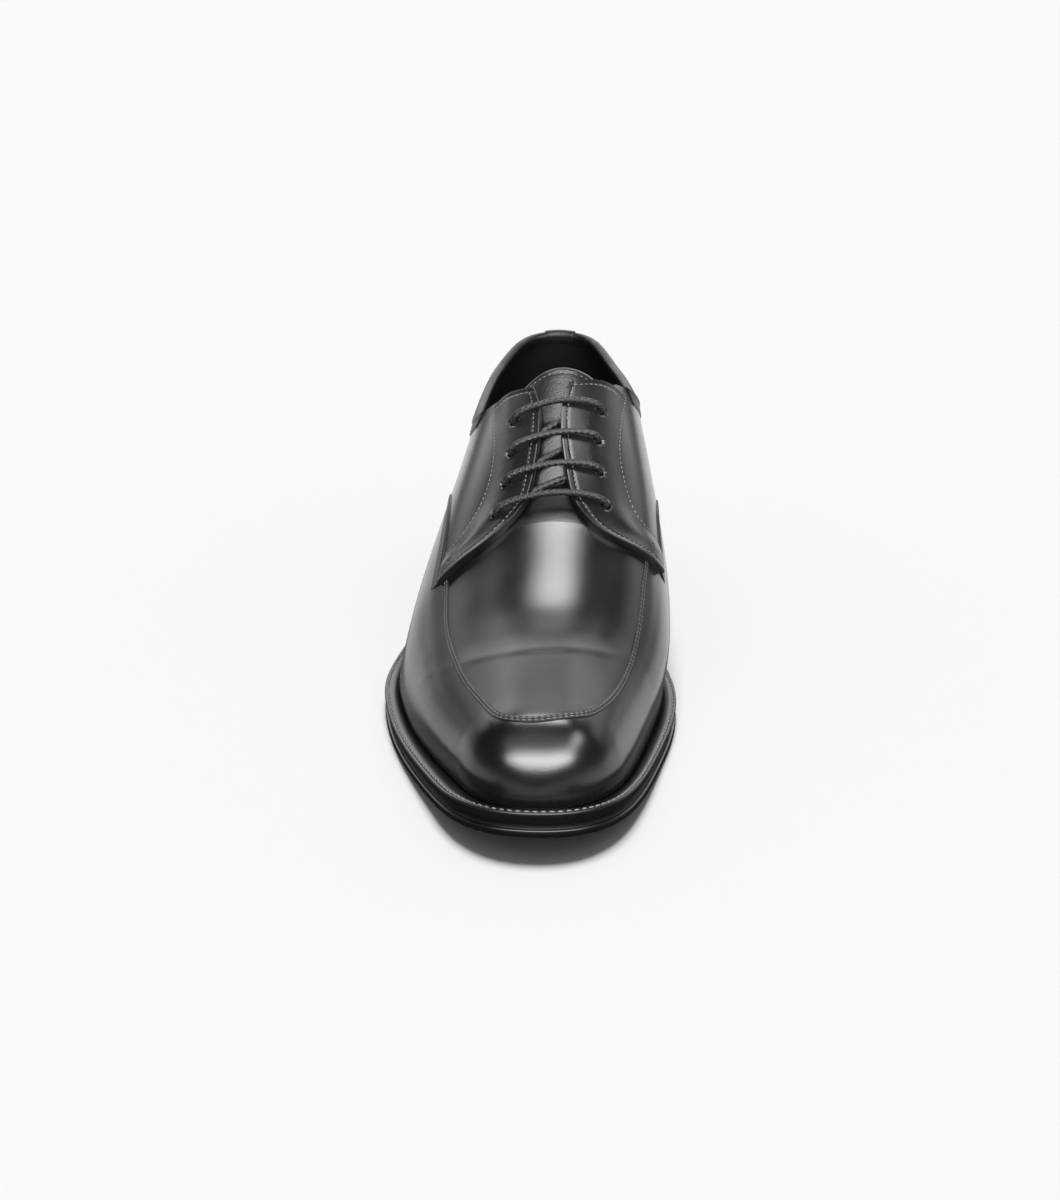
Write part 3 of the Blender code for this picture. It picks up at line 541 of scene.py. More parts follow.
def on_last(s, angle_degrees, offset=0.0):
    """Points of the last at places along the shoe and angles about its middle line, moved off its surface."""
    s, angle = np.broadcast_arrays(np.asarray(s, float), np.radians(angle_degrees))
    direction = np.stack([np.sin(angle), np.zeros_like(s), np.cos(angle)], axis=-1)
    point = cast(spine(s), direction)
    return point + last_normal(point) * np.asarray(offset)[..., None]


def height_off_last(point, out):
    """How far points near the last's surface stand off it along the direction given."""
    slope = (last_shape(point + out * PROBE) - last_shape(point - out * PROBE)) / (2 * PROBE)
    return last_shape(point) / slope


def angle_on_last(point):
    from_spine = point - spine(point[..., 1])
    return np.degrees(np.arctan2(from_spine[..., 0], from_spine[..., 2]))


def topline_height(point):
    s = point[..., 1]
    along, lateral, medial = columns(TOPLINE, "s", "lateral_z", "medial_z")
    on_lateral = point[..., 0] < section_at(s).ridge_x
    return np.where(on_lateral, np.interp(s, along, lateral), np.interp(s, along, medial))


def in_opening(point):
    """Above zero over the topline or in the throat."""
    s = point[..., 1]
    along, lateral, medial = columns(THROAT, "s", "lateral", "medial")
    low, high = np.interp(s, along, lateral), np.interp(s, along, medial)
    across = (angle_on_last(point) - (low + high) / 2) / ((high - low) / 2)
    forward = np.clip((s - THROAT_REAR) / (THROAT_FRONT - THROAT_REAR), 0, None)
    throat = 1 - np.abs(across) ** THROAT_SQUARENESS - forward**THROAT_SQUARENESS
    throat = np.where(s > THROAT[0].s, throat, -1.0)
    return np.maximum(point[..., 2] - topline_height(point), throat)


# Fineness of the pieces
UPPER_COLUMNS = 480
UPPER_ROWS = 120
LINING_ROWS = 30
COLUMN_RAYS = 160
FACING_ROWS = 200
FACING_EDGE_COLUMNS = 26
FACING_COLUMNS = 36
APRON_STEPS = 420
WING_STEPS = 160
COLLAR_COLUMNS = 260
HEEL_TAB_COLUMNS = 31
TONGUE_ROWS = 110
TONGUE_COLUMNS = 60
LACE_RINGS = 1900
LACE_SIDES = 20
LOOP_STRIDE = 4
PLATE_STATIONS = 200
STITCH_SIDES = 6
SETTLE_ROUNDS = 2
EDGE_PROBE = 1.5
WELD = 0.001 * MM
UP = np.array([0.0, 0.0, 1.0])

# The upper's lower edge turns in and down to the welt
FOOT_TURN = 0.3
FOOT_HEIGHT = 1.0
FOOT_DROP = 0.9

# The soft edge of the toe puff across the vamp, and the low ridges and troughs that follow it
PuffPoint = namedtuple("PuffPoint", "angle s")
PUFF_EDGE = rows_of(
    PuffPoint,
    (-95.0, 223.8),
    (-87.0, 224.6),
    (-77.0, 229.7),
    (-62.7, 239.0),
    (-48.0, 244.3),
    (-34.7, 247.6),
    (-15.0, 249.3),
    (-2.0, 249.0),
    (17.0, 247.2),
    (34.0, 243.2),
    (51.0, 236.0),
    (63.6, 228.5),
    (78.0, 221.5),
    (90.0, 214.0),
)
Crease = namedtuple("Crease", "place behind width height spread")
CREASES = rows_of(
    Crease,
    ("puff edge", 0.0, 1.9, 0.1, 110.0),
    ("puff line", -2.6, 1.3, -0.03, 50.0),
    ("puff hollow", 7.0, 4.5, -0.11, 110.0),
)

# Facings: thick rounded free edges, creased and stitched, with punched holes
FACING_RISE = GAP + FACING_THICKNESS
FACING_REAR_RISE = 0.25
FACING_LIFT = 0.8
FACING_LIFT_WIDTH = 9.0
FACING_FLAT_SHARE = 0.4
FACING_EDGE_SHARE = 0.3
FACING_EDGE_RADIUS = 0.5
FACING_STITCH = 2.4
FACING_REAR_STITCH = 0.965
FACING_LEAST = 0.5
FACING_UNDER = 0.1
EDGE_CREASE = 1.25
EDGE_CREASE_DEPTH = 0.03
EDGE_CREASE_WIDTH = 0.25
STITCH_DENT = 0.12
STITCH_DENT_WIDTH = 0.5
PUNCH_RADIUS = 1.8
PUNCH_RIM = 0.22
PUNCH_RIM_WIDTH = 0.4
PUNCH_EDGE = 0.4
TACK_DEPTH = 0.4
TACK_WIDTH = 0.55
TACKS_LATERAL = (LaceHole(189.5, -48.0), LaceHole(191.7, -50.0))
TACKS_MEDIAL = (LaceHole(183.1, 41.7), LaceHole(187.2, 45.2))

# Bands along seams, from the panel's own side to the side where its edge drops
BAND_ROOT = 0.3
BandPoint = namedtuple("BandPoint", "across rise")
APRON_PROFILE = rows_of(
    BandPoint,
    (-1.3, -0.3),
    (-1.27, 0.02),
    (-1.15, 0.22),
    (-0.95, 0.3),
    (-0.65, 0.18),
    (-0.35, 0.32),
    (0.1, 0.36),
    (0.4, 0.22),
    (0.7, 0.38),
    (0.98, 0.36),
    (1.12, 0.22),
    (1.18, -0.02),
    (1.2, -0.3),
)
APRON_STITCHES = (-0.65, 0.4)
APRON_TUCKS = (5.0, 13.0)
WING_TUCKS = (0.0, 5.0)
WING_PROFILE = rows_of(
    BandPoint,
    (-7.0, -0.05),
    (-5.0, 0.06),
    (-3.4, 0.26),
    (-2.5, 0.46),
    (-1.9, 0.4),
    (-1.4, 0.55),
    (-0.8, 0.62),
    (-0.3, 0.58),
    (-0.05, 0.42),
    (0.08, 0.1),
    (0.1, -0.25),
)
WING_STITCHES = (-1.9,)
WING_TIP_LATERAL = SeamPoint(193.5, -60.5)
WING_TIP_MEDIAL = SeamPoint(184.0, 55.5)

# Round the topline's edge: distance below it, negative above it, and height off the last
WrapPoint = namedtuple("WrapPoint", "below rise")
COLLAR_PROFILE = rows_of(
    WrapPoint,
    (7.6, -0.1),
    (7.2, 0.3),
    (6.8, 0.5),
    (6.2, 0.55),
    (5.4, 0.42),
    (4.6, 0.55),
    (3.2, 0.6),
    (2.7, 0.42),
    (2.2, 0.7),
    (1.4, 1.0),
    (0.5, 1.0),
    (-0.3, 0.6),
    (-0.75, -0.2),
    (-0.85, -1.1),
    (-0.6, -1.9),
    (0.1, -2.5),
    (1.5, -2.6),
    (4.0, -2.4),
    (4.4, -1.8),
)
COLLAR_STITCH = WrapPoint(5.4, 0.45)
FoldPoint = namedtuple("FoldPoint", "below rise under_below under_rise")
HEEL_TAB_FOLD = rows_of(
    FoldPoint,
    (26.0, 1.15, 26.0, 0.4),
    (18.0, 1.15, 18.0, 0.4),
    (10.0, 1.15, 10.0, 0.4),
    (5.0, 1.2, 5.0, 0.45),
    (2.5, 1.35, 2.5, 0.7),
    (1.0, 1.5, 1.0, 0.8),
    (0.0, 1.4, 0.2, 0.7),
    (-0.8, 0.95, -0.2, 0.4),
    (-1.25, 0.2, -0.6, 0.0),
    (-1.4, -0.9, -0.8, -0.9),
    (-1.25, -1.9, -0.7, -1.7),
    (-0.6, -2.6, -0.1, -2.2),
    (0.8, -2.95, 0.8, -2.4),
    (3.0, -2.9, 3.0, -2.3),
)
HEEL_TAB_EDGE = 0.7
HEEL_TAB_STITCH = 2
HEEL_TAB_STITCH_ROWS = 6

# The tongue rises to the vamp's edge at its seam; its top is turned and stitched
TONGUE_EDGE = 1.6
TONGUE_SEAM_RISE = 2.75
TONGUE_SEAM_LENGTH = 16.0
TONGUE_STITCH = 3.4
TONGUE_TUCK = 4.0
TONGUE_STITCH_MARGIN = 5

# The lace's braid
LACE_GIRTH = 1.2
LACE_LIFT = 0.3
BRAID_DEPTH = 0.1
BRAID_PITCH = 2.2
BRAID_STRANDS = 4

# Sole edges from the bottom up: a share of the welt's width plus a length in from the edge, and a height
EdgeRow = namedtuple("EdgeRow", "place share inset height")
WELT_PROFILE = rows_of(
    EdgeRow,
    ("bottom", 0.0, 1.2, 0.0),
    ("lower edge", 0.0, 0.8, 0.35),
    ("side low", 0.0, 0.45, 1.1),
    ("side middle", 0.0, 0.2, 2.1),
    ("side high", 0.0, 0.05, 3.1),
    ("rim side", 0.0, 0.0, 3.6),
    ("rim turn", 0.0, 0.05, 3.88),
    ("rim", 0.0, 0.17, 4.12),
    ("rim crown", 0.0, 0.36, 4.29),
    ("rim top", 0.04, 0.4, 4.38),
    ("stitch groove outside", 0.1, 0.45, 4.36),
    ("stitch groove", 0.16, 0.5, 4.1),
    ("stitch groove inside", 0.22, 0.55, 4.3),
    ("flat", 0.5, 0.2, 4.25),
    ("gutter top", 0.7, 0.0, 4.0),
    ("gutter edge", 0.82, 0.0, 3.7),
    ("gutter wall", 0.92, 0.0, 3.2),
    ("gutter bottom", 1.0, 0.4, 2.8),
    ("under the upper", 1.0, 2.0, 2.8),
    ("rib", 1.0, 2.3, 4.4),
    ("inside top", 1.0, 6.5, 4.4),
    ("inside bottom", 1.0, 6.5, 0.0),
)
WELT_STITCH = EdgeRow("stitch", 0.16, 0.5, 4.25)
OUTSOLE_PROFILE = rows_of(
    EdgeRow,
    ("tread", 0.0, 1.3, 0.0),
    ("tread edge", 0.0, 0.6, 0.22),
    ("side foot", 0.0, 0.15, 0.75),
    ("side low", 0.0, 0.0, 1.3),
    ("side high", 0.0, 0.0, 2.2),
    ("bead side", 0.0, 0.06, 2.5),
    ("bead", 0.0, 0.2, 2.74),
    ("bead crown", 0.0, 0.42, 2.9),
    ("bead top", 0.0, 0.75, 2.98),
    ("groove", 0.0, 1.3, 3.0),
    ("groove wall", 0.0, 1.45, 3.4),
    ("top", 0.0, 1.3, OUTSOLE_THICKNESS + GAP),
)
HeelRow = namedtuple("HeelRow", "place inset share")
HEEL_PROFILE = rows_of(
    HeelRow,
    ("bottom", 3.2, 0.0),
    ("bottom edge", 2.5, 0.02),
    ("lift 1 low", 2.2, 0.06),
    ("lift 1 high", 1.95, 0.33),
    ("line 1", 2.25, 0.345),
    ("lift 2 low", 1.9, 0.36),
    ("lift 2 high", 1.5, 0.64),
    ("line 2", 1.8, 0.655),
    ("lift 3 low", 1.45, 0.67),
    ("lift 3 high", 0.9, 0.96),
    ("top", 1.3, 1.0),
)

# One stitch: places along its half length, its girth and how deep it sits, in thread radii
StitchRing = namedtuple("StitchRing", "reach girth depth")
STITCH_SHAPE = rows_of(
    StitchRing,
    (-1.0, 0.4, 1.5),
    (-0.85, 0.85, 0.6),
    (-0.45, 1.0, 0.05),
    (0.0, 1.0, 0.0),
    (0.45, 1.0, 0.05),
    (0.85, 0.85, 0.6),
    (1.0, 0.4, 1.5),
)
Seam = namedtuple("Seam", "pitch length radius slant")
FACING_SEAM = Seam(2.0, 1.3, 0.2, 4.0)
APRON_SEAM_STITCH = Seam(1.9, 1.35, 0.24, 16.0)
COLLAR_SEAM = Seam(2.0, 1.3, 0.19, 4.0)
WELT_SEAM = Seam(2.6, 2.0, 0.36, 10.0)

# Camera and studio, in metres
PHOTO_TALL = 1200
PHOTO_FOCAL = 1785.0
SENSOR = 36.0
CAMERA_TARGET = Vector((0.00035, -0.05, 0.0452))
CAMERA_AZIMUTH = np.radians(2.6)
CAMERA_ELEVATION = np.radians(23.4)
CAMERA_DISTANCE = 0.62
FLOOR_HALF = 7.0
FLOOR_COLOUR = 0.9
FLOOR_LIGHT = 2.6
FLOOR_LIGHT_ANGLE = 22.0
FLOOR_FILL = 0.62
FLOOR_FILL_ANGLE = 170.0
SURROUNDINGS = 0.03
BACKDROP_RADIUS = 6.9
BACKDROP_LEVEL = 0.93
BACKDROP_SIDES = 64
BACKDROP_RINGS = 16
FADE_STEPS = 5
FADE_SPACING = 0.004
SoftBox = namedtuple("SoftBox", "name shape place target wide tall wide_fade tall_fade radiance")
SOFT_BOXES = rows_of(
    SoftBox,
    ("front panel", "ELLIPSE", (0.4, -1.2, 0.77), (0.4, -0.14, 0.03), 3.0, 0.9, 1.4, 0.6, 16.0),
    ("front glow", "ELLIPSE", (0.15, -0.74, 1.06), (0.15, -0.74, 0.0), 2.0, 0.46, 1.0, 0.44, 2.0),
    ("right key", "ELLIPSE", (1.1, -0.35, 1.0), (0.0, -0.14, 0.03), 0.6, 0.6, 0.4, 0.4, 7.0),
    ("rear overhead", "ELLIPSE", (0.013, -0.004, 0.4), (0.013, -0.004, 0.0), 0.22, 0.1, 0.14, 0.06, 18.0),
    ("back panel", "RECTANGLE", (-0.03, 1.0, 0.74), (0.0, -0.05, 0.05), 1.85, 0.96, 0.9, 0.2, 2.8),
    ("back wings", "RECTANGLE", (0.1, 1.05, 0.45), (0.0, -0.05, 0.05), 4.0, 0.58, 0.5, 0.3, 0.9),
    ("back floor", "RECTANGLE", (0.0, 0.49, 0.001), (0.0, 0.49, 1.0), 1.6, 0.62, 0.0, 0.0, 1.1),
    ("floor in front", "RECTANGLE", (0.0, -0.2, 0.001), (0.0, -0.2, 1.0), 0.3, 0.036, 0.0, 0.0, 0.9),
    ("floor at the left", "RECTANGLE", (-0.125, 0.0, 0.001), (-0.125, 0.0, 1.0), 0.115, 0.36, 0.0, 0.0, 1.0),
    ("floor at the right", "RECTANGLE", (0.125, 0.0, 0.001), (0.125, 0.0, 1.0), 0.115, 0.36, 0.0, 0.0, 1.1),
)
# The share of its frame that a panel of each shape fills
PANEL_SHARE = {"RECTANGLE": 1.0, "ELLIPSE": np.pi / 4}

SHOE = bpy.data.collections.new("shoe")
STAGE = bpy.data.collections.new("stage")
for group in (SHOE, STAGE):
    bpy.context.scene.collection.children.link(group)

# Fine columns over the last


def last_columns(feet):
    """Fine paths up the last from points of the feather line, their lengths, and where the opening starts."""
    x, s = feet.T
    axis_s = np.clip(s, HEEL_AXIS, TOE_AXIS)
    axis = spine(axis_s)
    axis[:, 2] = np.where(s > TOE_AXIS, welt_top(axis_s) + TOE_AXIS_LIFT, axis[:, 2])
    outward = np.stack([x - axis[:, 0], s - axis[:, 1], np.zeros_like(s)], axis=-1)
    reach = np.linalg.norm(outward, axis=1)
    lowest = np.arctan2(welt_top(s) - axis[:, 2], reach)
    spread = np.linspace(0, 1, COLUMN_RAYS) ** RAY_SPREAD
    rise = lowest[:, None] + (STEEPEST_RAY - lowest[:, None]) * spread
    level = np.cos(rise)[..., None] * (outward / reach[:, None])[:, None]
    path = cast(axis[:, None], level + np.sin(rise)[..., None] * UP)
    path[:, 0] = np.stack([x, s, welt_top(s)], axis=-1)
    over = in_opening(path)
    first = np.argmax(over > 0, axis=1)
    every = np.arange(len(feet))
    before, after = over[every, first - 1], over[every, first]
    along = lengths_along(path, axis=1)
    low, high = along[every, first - 1], along[every, first]
    return path, along, low + (high - low) * before / (before - after)


def read_columns(path, along, places):
    """Points of the paths at the lengths given, one row of lengths for each path."""
    return np.array([read_line(*column) for column in zip(path, along, places)])


def feather_feet(count):
    around = lengths_along(np.vstack([FEATHER_LOOP, FEATHER_LOOP[:1]]))
    places = np.linspace(0, around[-1], count, endpoint=False)
    return read_line(FEATHER_LOOP, around[:-1], places)


def on_surface(point):
    """The nearest place of the last to points that are already close to it, with its outward direction."""
    for _ in range(SETTLE_ROUNDS):
        out = last_normal(point)
        point = point - height_off_last(point, out)[..., None] * out
    return point, last_normal(point)


# Meshes


def world(points):
    """Points of the shoe in Blender's frame, in metres."""
    points = np.asarray(points, float)
    return np.stack([points[..., 0] - CENTRE_X, LENGTH / 2 - points[..., 1], points[..., 2]], axis=-1) * MM


def numbered(points, start=0):
    """Vertex numbers for a grid of points."""
    shape = points.shape[:-1]
    return np.arange(start, start + np.prod(shape)).reshape(shape)


def grid_quads(rows, wide, closed=False):
    numbers = np.arange(rows * wide).reshape(rows, wide)
    if closed:
        numbers = np.concatenate([numbers, numbers[:, :1]], axis=1)
    corners = numbers[:-1, :-1], numbers[:-1, 1:], numbers[1:, 1:], numbers[1:, :-1]
    return np.stack(corners, axis=-1).reshape(-1, 4)


def ring_quads(rows):
    """Quads between rows of vertex numbers that run round and close."""
    rows = np.asarray(rows)
    after = np.roll(rows, -1, axis=1)
    return np.stack([rows[:-1], after[:-1], after[1:], rows[1:]], axis=-1).reshape(-1, 4)


def edge_walls(quads, count):
    """Quads that join the open edges of a sheet to its copy, whose points are numbered on by count."""
    edges = np.concatenate([np.stack([quads[:, i], quads[:, (i + 1) % 4]], axis=-1) for i in range(4)])
    _, index, times = np.unique(np.sort(edges, axis=1), axis=0, return_index=True, return_counts=True)
    first, second = edges[index[times == 1]].T
    return np.stack([second, first, first + count, second + count], axis=-1)


def add_piece(name, points, faces, materials, slot, *nodes, second=None):
    """A mesh piece of the shoe; faces from number second on take the second material."""
    mesh = bpy.data.meshes.new(name)
    mesh.from_pydata(world(points).reshape(-1, 3).tolist(), [], [list(map(int, face)) for face in faces])
    for material in materials:
        mesh.materials.append(material)
    if second is not None:
        index = np.zeros(len(mesh.polygons), int)
        index[second:] = 1
        mesh.polygons.foreach_set("material_index", index)
    shaped = bmesh.new()
    shaped.from_mesh(mesh)
    loose = [corner for corner in shaped.verts if not corner.link_faces]
    bmesh.ops.delete(shaped, geom=loose, context="VERTS")
    bmesh.ops.remove_doubles(shaped, verts=shaped.verts, dist=WELD)
    bmesh.ops.recalc_face_normals(shaped, faces=shaped.faces)
    shaped.to_mesh(mesh)
    shaped.free()
    mesh.shade_smooth()
    mesh.set_sharp_from_angle(angle=SHARP_ANGLE)
    made = bpy.data.objects.new(name, mesh)
    SHOE.objects.link(made)
    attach(made, "root")
    if nodes:
        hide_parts(*nodes)
    return made


def add_sheet(name, top, under, quads, material, slot, *nodes):
    """A closed sheet between two sets of points with the same quads."""
    top, under = top.reshape(-1, 3), under.reshape(-1, 3)
    count = len(top)
    faces = np.concatenate([quads, quads[:, ::-1] + count, edge_walls(quads, count)])
    return add_piece(name, np.vstack([top, under]), faces, [material], slot, *nodes)


def rounded(distance, radius):
    """How much a rounded edge drops at a distance from it."""
    inside = np.clip(radius - distance, 0, radius)
    return radius - np.sqrt(radius**2 - inside**2)


def dent(distance, width):
    return np.exp(-((distance / width) ** 2))


# Stitches


def stitch_row(line, out, pitch, length, radius, slant):
    """Points and faces of a row of stitches along a line, each a short thread that dips into the leather."""
    at = lengths_along(line)
    count = max(int(at[-1] / pitch), 1)
    middles = (np.arange(count) + 0.5) * at[-1] / count
    place = read_line(line, at, middles)
    normal = unit(read_line(out, at, middles))
    along = read_line(line, at, middles + pitch / 4) - read_line(line, at, middles - pitch / 4)
    along = unit(along - normal * np.sum(along * normal, axis=1)[:, None])
    slant = np.radians(slant)
    turned = along * np.cos(slant) + np.cross(normal, along) * np.sin(slant)
    beside = np.cross(normal, turned)
    reach, girth, depth = columns(STITCH_SHAPE, "reach", "girth", "depth")
    turn = np.arange(STITCH_SIDES) * 2 * np.pi / STITCH_SIDES
    middle = place[:, None] + turned[:, None] * (reach * length / 2)[:, None]
    middle = middle - normal[:, None] * (depth * radius)[:, None]
    ring = beside[:, None, None] * np.cos(turn)[:, None] + normal[:, None, None] * np.sin(turn)[:, None]
    points = middle[:, :, None] + ring * (girth * radius)[:, None, None]
    rings = len(STITCH_SHAPE)
    one = grid_quads(rings, STITCH_SIDES, closed=True)
    faces = (one[None] + (np.arange(count) * rings * STITCH_SIDES)[:, None, None]).reshape(-1, 4)
    return points.reshape(-1, 3), faces


def add_stitches(name, rows, material, slot):
    """Several rows of stitches joined into one piece."""
    points = []
    faces = []
    start = 0
    for row_points, row_faces in rows:
        points.append(row_points)
        faces.append(row_faces + start)
        start += len(row_points)
    return add_piece(name, np.vstack(points), np.vstack(faces), [material], slot)


# Leather pieces


def upper_relief(point):
    """The toe puff's soft edge and the shallow creases behind it."""
    angle = angle_on_last(point)
    s = point[..., 1]
    table = np.array([[row.s] for row in PUFF_EDGE])
    flat = np.clip(angle.ravel(), PUFF_EDGE[0].angle, PUFF_EDGE[-1].angle)
    puff = spline(columns(PUFF_EDGE, "angle")[0], table, flat)[:, 0].reshape(s.shape)
    height = np.zeros_like(s)
    for crease in CREASES:
        behind = s - puff + crease.behind
        centred = np.clip(1 - (angle / crease.spread) ** 2, 0, 1)
        height += crease.height * dent(behind, crease.width) * centred
    return height


def make_upper():
    """One leather wall: a fine outside with a turned-in foot, a lining inside, open at collar and throat."""
    path, along, edge = last_columns(feather_feet(UPPER_COLUMNS))
    outer = read_columns(path, along, edge[:, None] * np.linspace(0, 1, UPPER_ROWS))
    inner = read_columns(path, along, edge[:, None] * np.linspace(0, 1, LINING_ROWS))
    outward = last_normal(outer)
    foot = outer[..., 2] - welt_top(outer[..., 1])
    turned_in = FOOT_TURN * np.clip(1 - foot / FOOT_HEIGHT, 0, 1) ** 2
    outer = outer + outward * (upper_relief(outer) - turned_in)[..., None]
    outer[:, 0, 2] -= FOOT_DROP
    inner = inner - last_normal(inner) * WALL
    inner[:, 0, 2] = outer[:, 0, 2]
    points = np.vstack([outer.reshape(-1, 3), inner.reshape(-1, 3)])
    outside = numbered(outer)
    inside = numbered(inner, outside.size)
    walls = [ring_quads(outside.T), ring_quads(inside.T)]
    top_rim = ring_quads([outside[:, -1], inside[:, -1]])
    foot_rim = ring_quads([outside[:, 0], inside[:, 0]])
    faces = np.vstack([walls[0], top_rim, walls[1], foot_rim])
    lining = len(walls[0]) + len(top_rim)
    return add_piece("upper_leather", points, faces, [LEATHER, LINING], "leather", "upper", second=lining)


def facing_sheet(rows):
    """A facing's fine grid: surface points, outward directions and distances from its edges."""
    table = np.array([row[1:] for row in rows])
    edges = spline(np.arange(len(rows)), table, np.linspace(0, len(rows) - 1, FACING_ROWS))
    near = np.linspace(0, FACING_EDGE_SHARE, FACING_EDGE_COLUMNS, endpoint=False)
    share = np.concatenate([near, np.linspace(FACING_EDGE_SHARE, 1, FACING_COLUMNS)])
    s = edges[:, :1] + (edges[:, 2:3] - edges[:, :1]) * share
    angle = edges[:, 1:2] + (edges[:, 3:] - edges[:, 1:2]) * share
    point = on_last(s, angle)
    top = lengths_along(point)
    return point, last_normal(point), share, lengths_along(point, axis=1), top, top[-1] - top


def facing_height(share, front, top, corner):
    """Thick at its free edges, which are rounded and creased, and level with the quarter at its rear seam."""
    fade = 1 - smooth_step((share - FACING_FLAT_SHARE) / (1 - FACING_FLAT_SHARE))
    height = FACING_REAR_RISE + (FACING_RISE - FACING_REAR_RISE) * fade
    height = height + FACING_LIFT * np.clip(1 - front / FACING_LIFT_WIDTH, 0, 1) ** 2
    height = height - rounded(np.minimum(np.minimum(front, top), corner), FACING_EDGE_RADIUS)
    height = height - EDGE_CREASE_DEPTH * dent(front - EDGE_CREASE, EDGE_CREASE_WIDTH)
    height = height - STITCH_DENT * dent(front - FACING_STITCH, STITCH_DENT_WIDTH)
    return height - STITCH_DENT * dent(top - FACING_STITCH, STITCH_DENT_WIDTH)


def make_facing(name, node, rows, holes, tacks):
    """A facing with punched holes, each with a pressed rim, and a pair of tack marks near its corner."""
    point, out, share, front, top, corner = facing_sheet(rows)
    height = facing_height(share, front, top, corner)
    shape = point.shape[:2]
    quads = grid_quads(*shape)
    flat = point.reshape(-1, 3).copy()
    height = height.reshape(-1)
    keep = np.ones(len(quads), bool)
    for hole in holes:
        middle = on_last(hole.s, hole.angle)
        axis = last_normal(middle)
        offset = flat - middle
        offset -= (offset @ axis)[:, None] * axis
        away = np.linalg.norm(offset, axis=1)
        inside = away < PUNCH_RADIUS
        cut = inside[quads].any(axis=1)
        rim = np.unique(quads[cut])
        rim = rim[~inside[rim]]
        flat[rim] += offset[rim] * (PUNCH_RADIUS / away[rim] - 1)[:, None]
        away[rim] = PUNCH_RADIUS
        height += PUNCH_RIM * dent(away - PUNCH_RADIUS - PUNCH_RIM_WIDTH, PUNCH_RIM_WIDTH)
        height -= rounded(away - PUNCH_RADIUS, PUNCH_EDGE)
        keep &= ~cut
    for tack in tacks:
        away = np.linalg.norm(flat - on_last(tack.s, tack.angle), axis=1)
        height -= TACK_DEPTH * dent(away, TACK_WIDTH)
    out = out.reshape(-1, 3)
    upside = flat + out * height[:, None]
    under = flat + out * np.minimum(height - FACING_LEAST, FACING_UNDER)[:, None]
    return add_sheet(name, upside, under, quads[keep], FACING, "leather", node)


def facing_rows(rows):
    """The facing's seam lines: along its free edges and along its rear seam."""
    point, out, share, front, top, corner = facing_sheet(rows)
    lines = []
    upside = point + out * facing_height(share, front, top, corner)[..., None]
    edge_line = []
    edge_out = []
    for row in range(len(point)):
        if top[row, 0] < FACING_STITCH or corner[row, 0] < FACING_STITCH:
            continue
        column = np.argmin(np.abs(front[row] - FACING_STITCH))
        edge_line.append(upside[row, column])
        edge_out.append(out[row, column])
    lines.append((np.array(edge_line), np.array(edge_out)))
    rear = np.argmin(np.abs(share - FACING_REAR_STITCH))
    lines.append((upside[:, rear], out[:, rear]))
    row = np.argmin(np.abs(top[:, 0] - FACING_STITCH))
    wide = front[row] > FACING_STITCH
    lines.append((upside[row][wide], out[row][wide]))
    return lines


def seam_line(points, steps, past):
    """A line on the last through a table's points and past its ends, with outward and sideways directions."""
    table = np.array([(point.s, point.angle) for point in points])
    at = lengths_along(on_last(table[:, 0], table[:, 1]))
    line = spline(at, table, np.linspace(-past[0], at[-1] + past[1], steps))
    middle = on_last(line[:, 0], line[:, 1])
    along = unit(np.gradient(middle, axis=0))
    out = last_normal(middle)
    return middle, out, np.cross(out, along)


def beside_seam(seam, distance):
    middle, _, across = seam
    return on_surface(middle + across * distance)


def add_band(name, node, seam, profile, side):
    """A raised band along a seam line, from a profile across it; side turns the profile about."""
    top = []
    under = []
    for place in profile:
        foot, out = beside_seam(seam, place.across * side)
        top.append(foot + out * place.rise)
        under.append(foot - out * BAND_ROOT)
    top, under = np.array(top), np.array(under)
    return add_sheet(name, top, under, grid_quads(*top.shape[:2]), BINDING, "trim_leather", node)


def band_rows(seam, profile, distances, side):
    """Stitch lines on a band, as points and directions."""
    across, rise = columns(profile, "across", "rise")
    order = np.argsort(across)
    lines = []
    for distance in distances:
        foot, out = beside_seam(seam, distance * side)
        height = np.interp(distance, across[order], rise[order])
        lines.append((foot + out * height, out))
    return lines


def collar_columns(count):
    """Paths up to the topline, from the lateral facing round the heel to the medial one."""
    lateral = FEATHER_LATERAL[FEATHER_LATERAL[:, 1] < COLLAR_BAND_LATERAL_END]
    medial = FEATHER_MEDIAL[FEATHER_MEDIAL[:, 1] < COLLAR_BAND_MEDIAL_END]
    line = np.vstack([lateral[::-1], medial[1:]])
    along = lengths_along(line)
    return last_columns(read_line(line, along, np.linspace(0, along[-1], count)))


def wrap_edge(paths, profile):
    """Points round the topline's edge from a profile of distances below it and heights off the last."""
    path, along, edge = paths
    below, rise = columns(profile, "below", "rise")
    foot = read_columns(path, along, edge[:, None] - np.maximum(below, 0))
    top = read_columns(path, along, edge[:, None] - np.array([0.0, EDGE_PROBE]))
    up = unit(top[:, :1] - top[:, 1:])
    over = np.maximum(-below, 0)
    return foot + up * over[:, None] + last_normal(foot) * rise[:, None]


def make_collar():
    """The bound edge of the collar, rolled over the wall and stitched below."""
    points = wrap_edge(collar_columns(COLLAR_COLUMNS), COLLAR_PROFILE)
    numbers = numbered(points)
    faces = [*ring_quads(numbers), numbers[0], numbers[-1]]
    return add_piece("collar_edge", points, faces, [BINDING], "trim_leather", "collar_band")


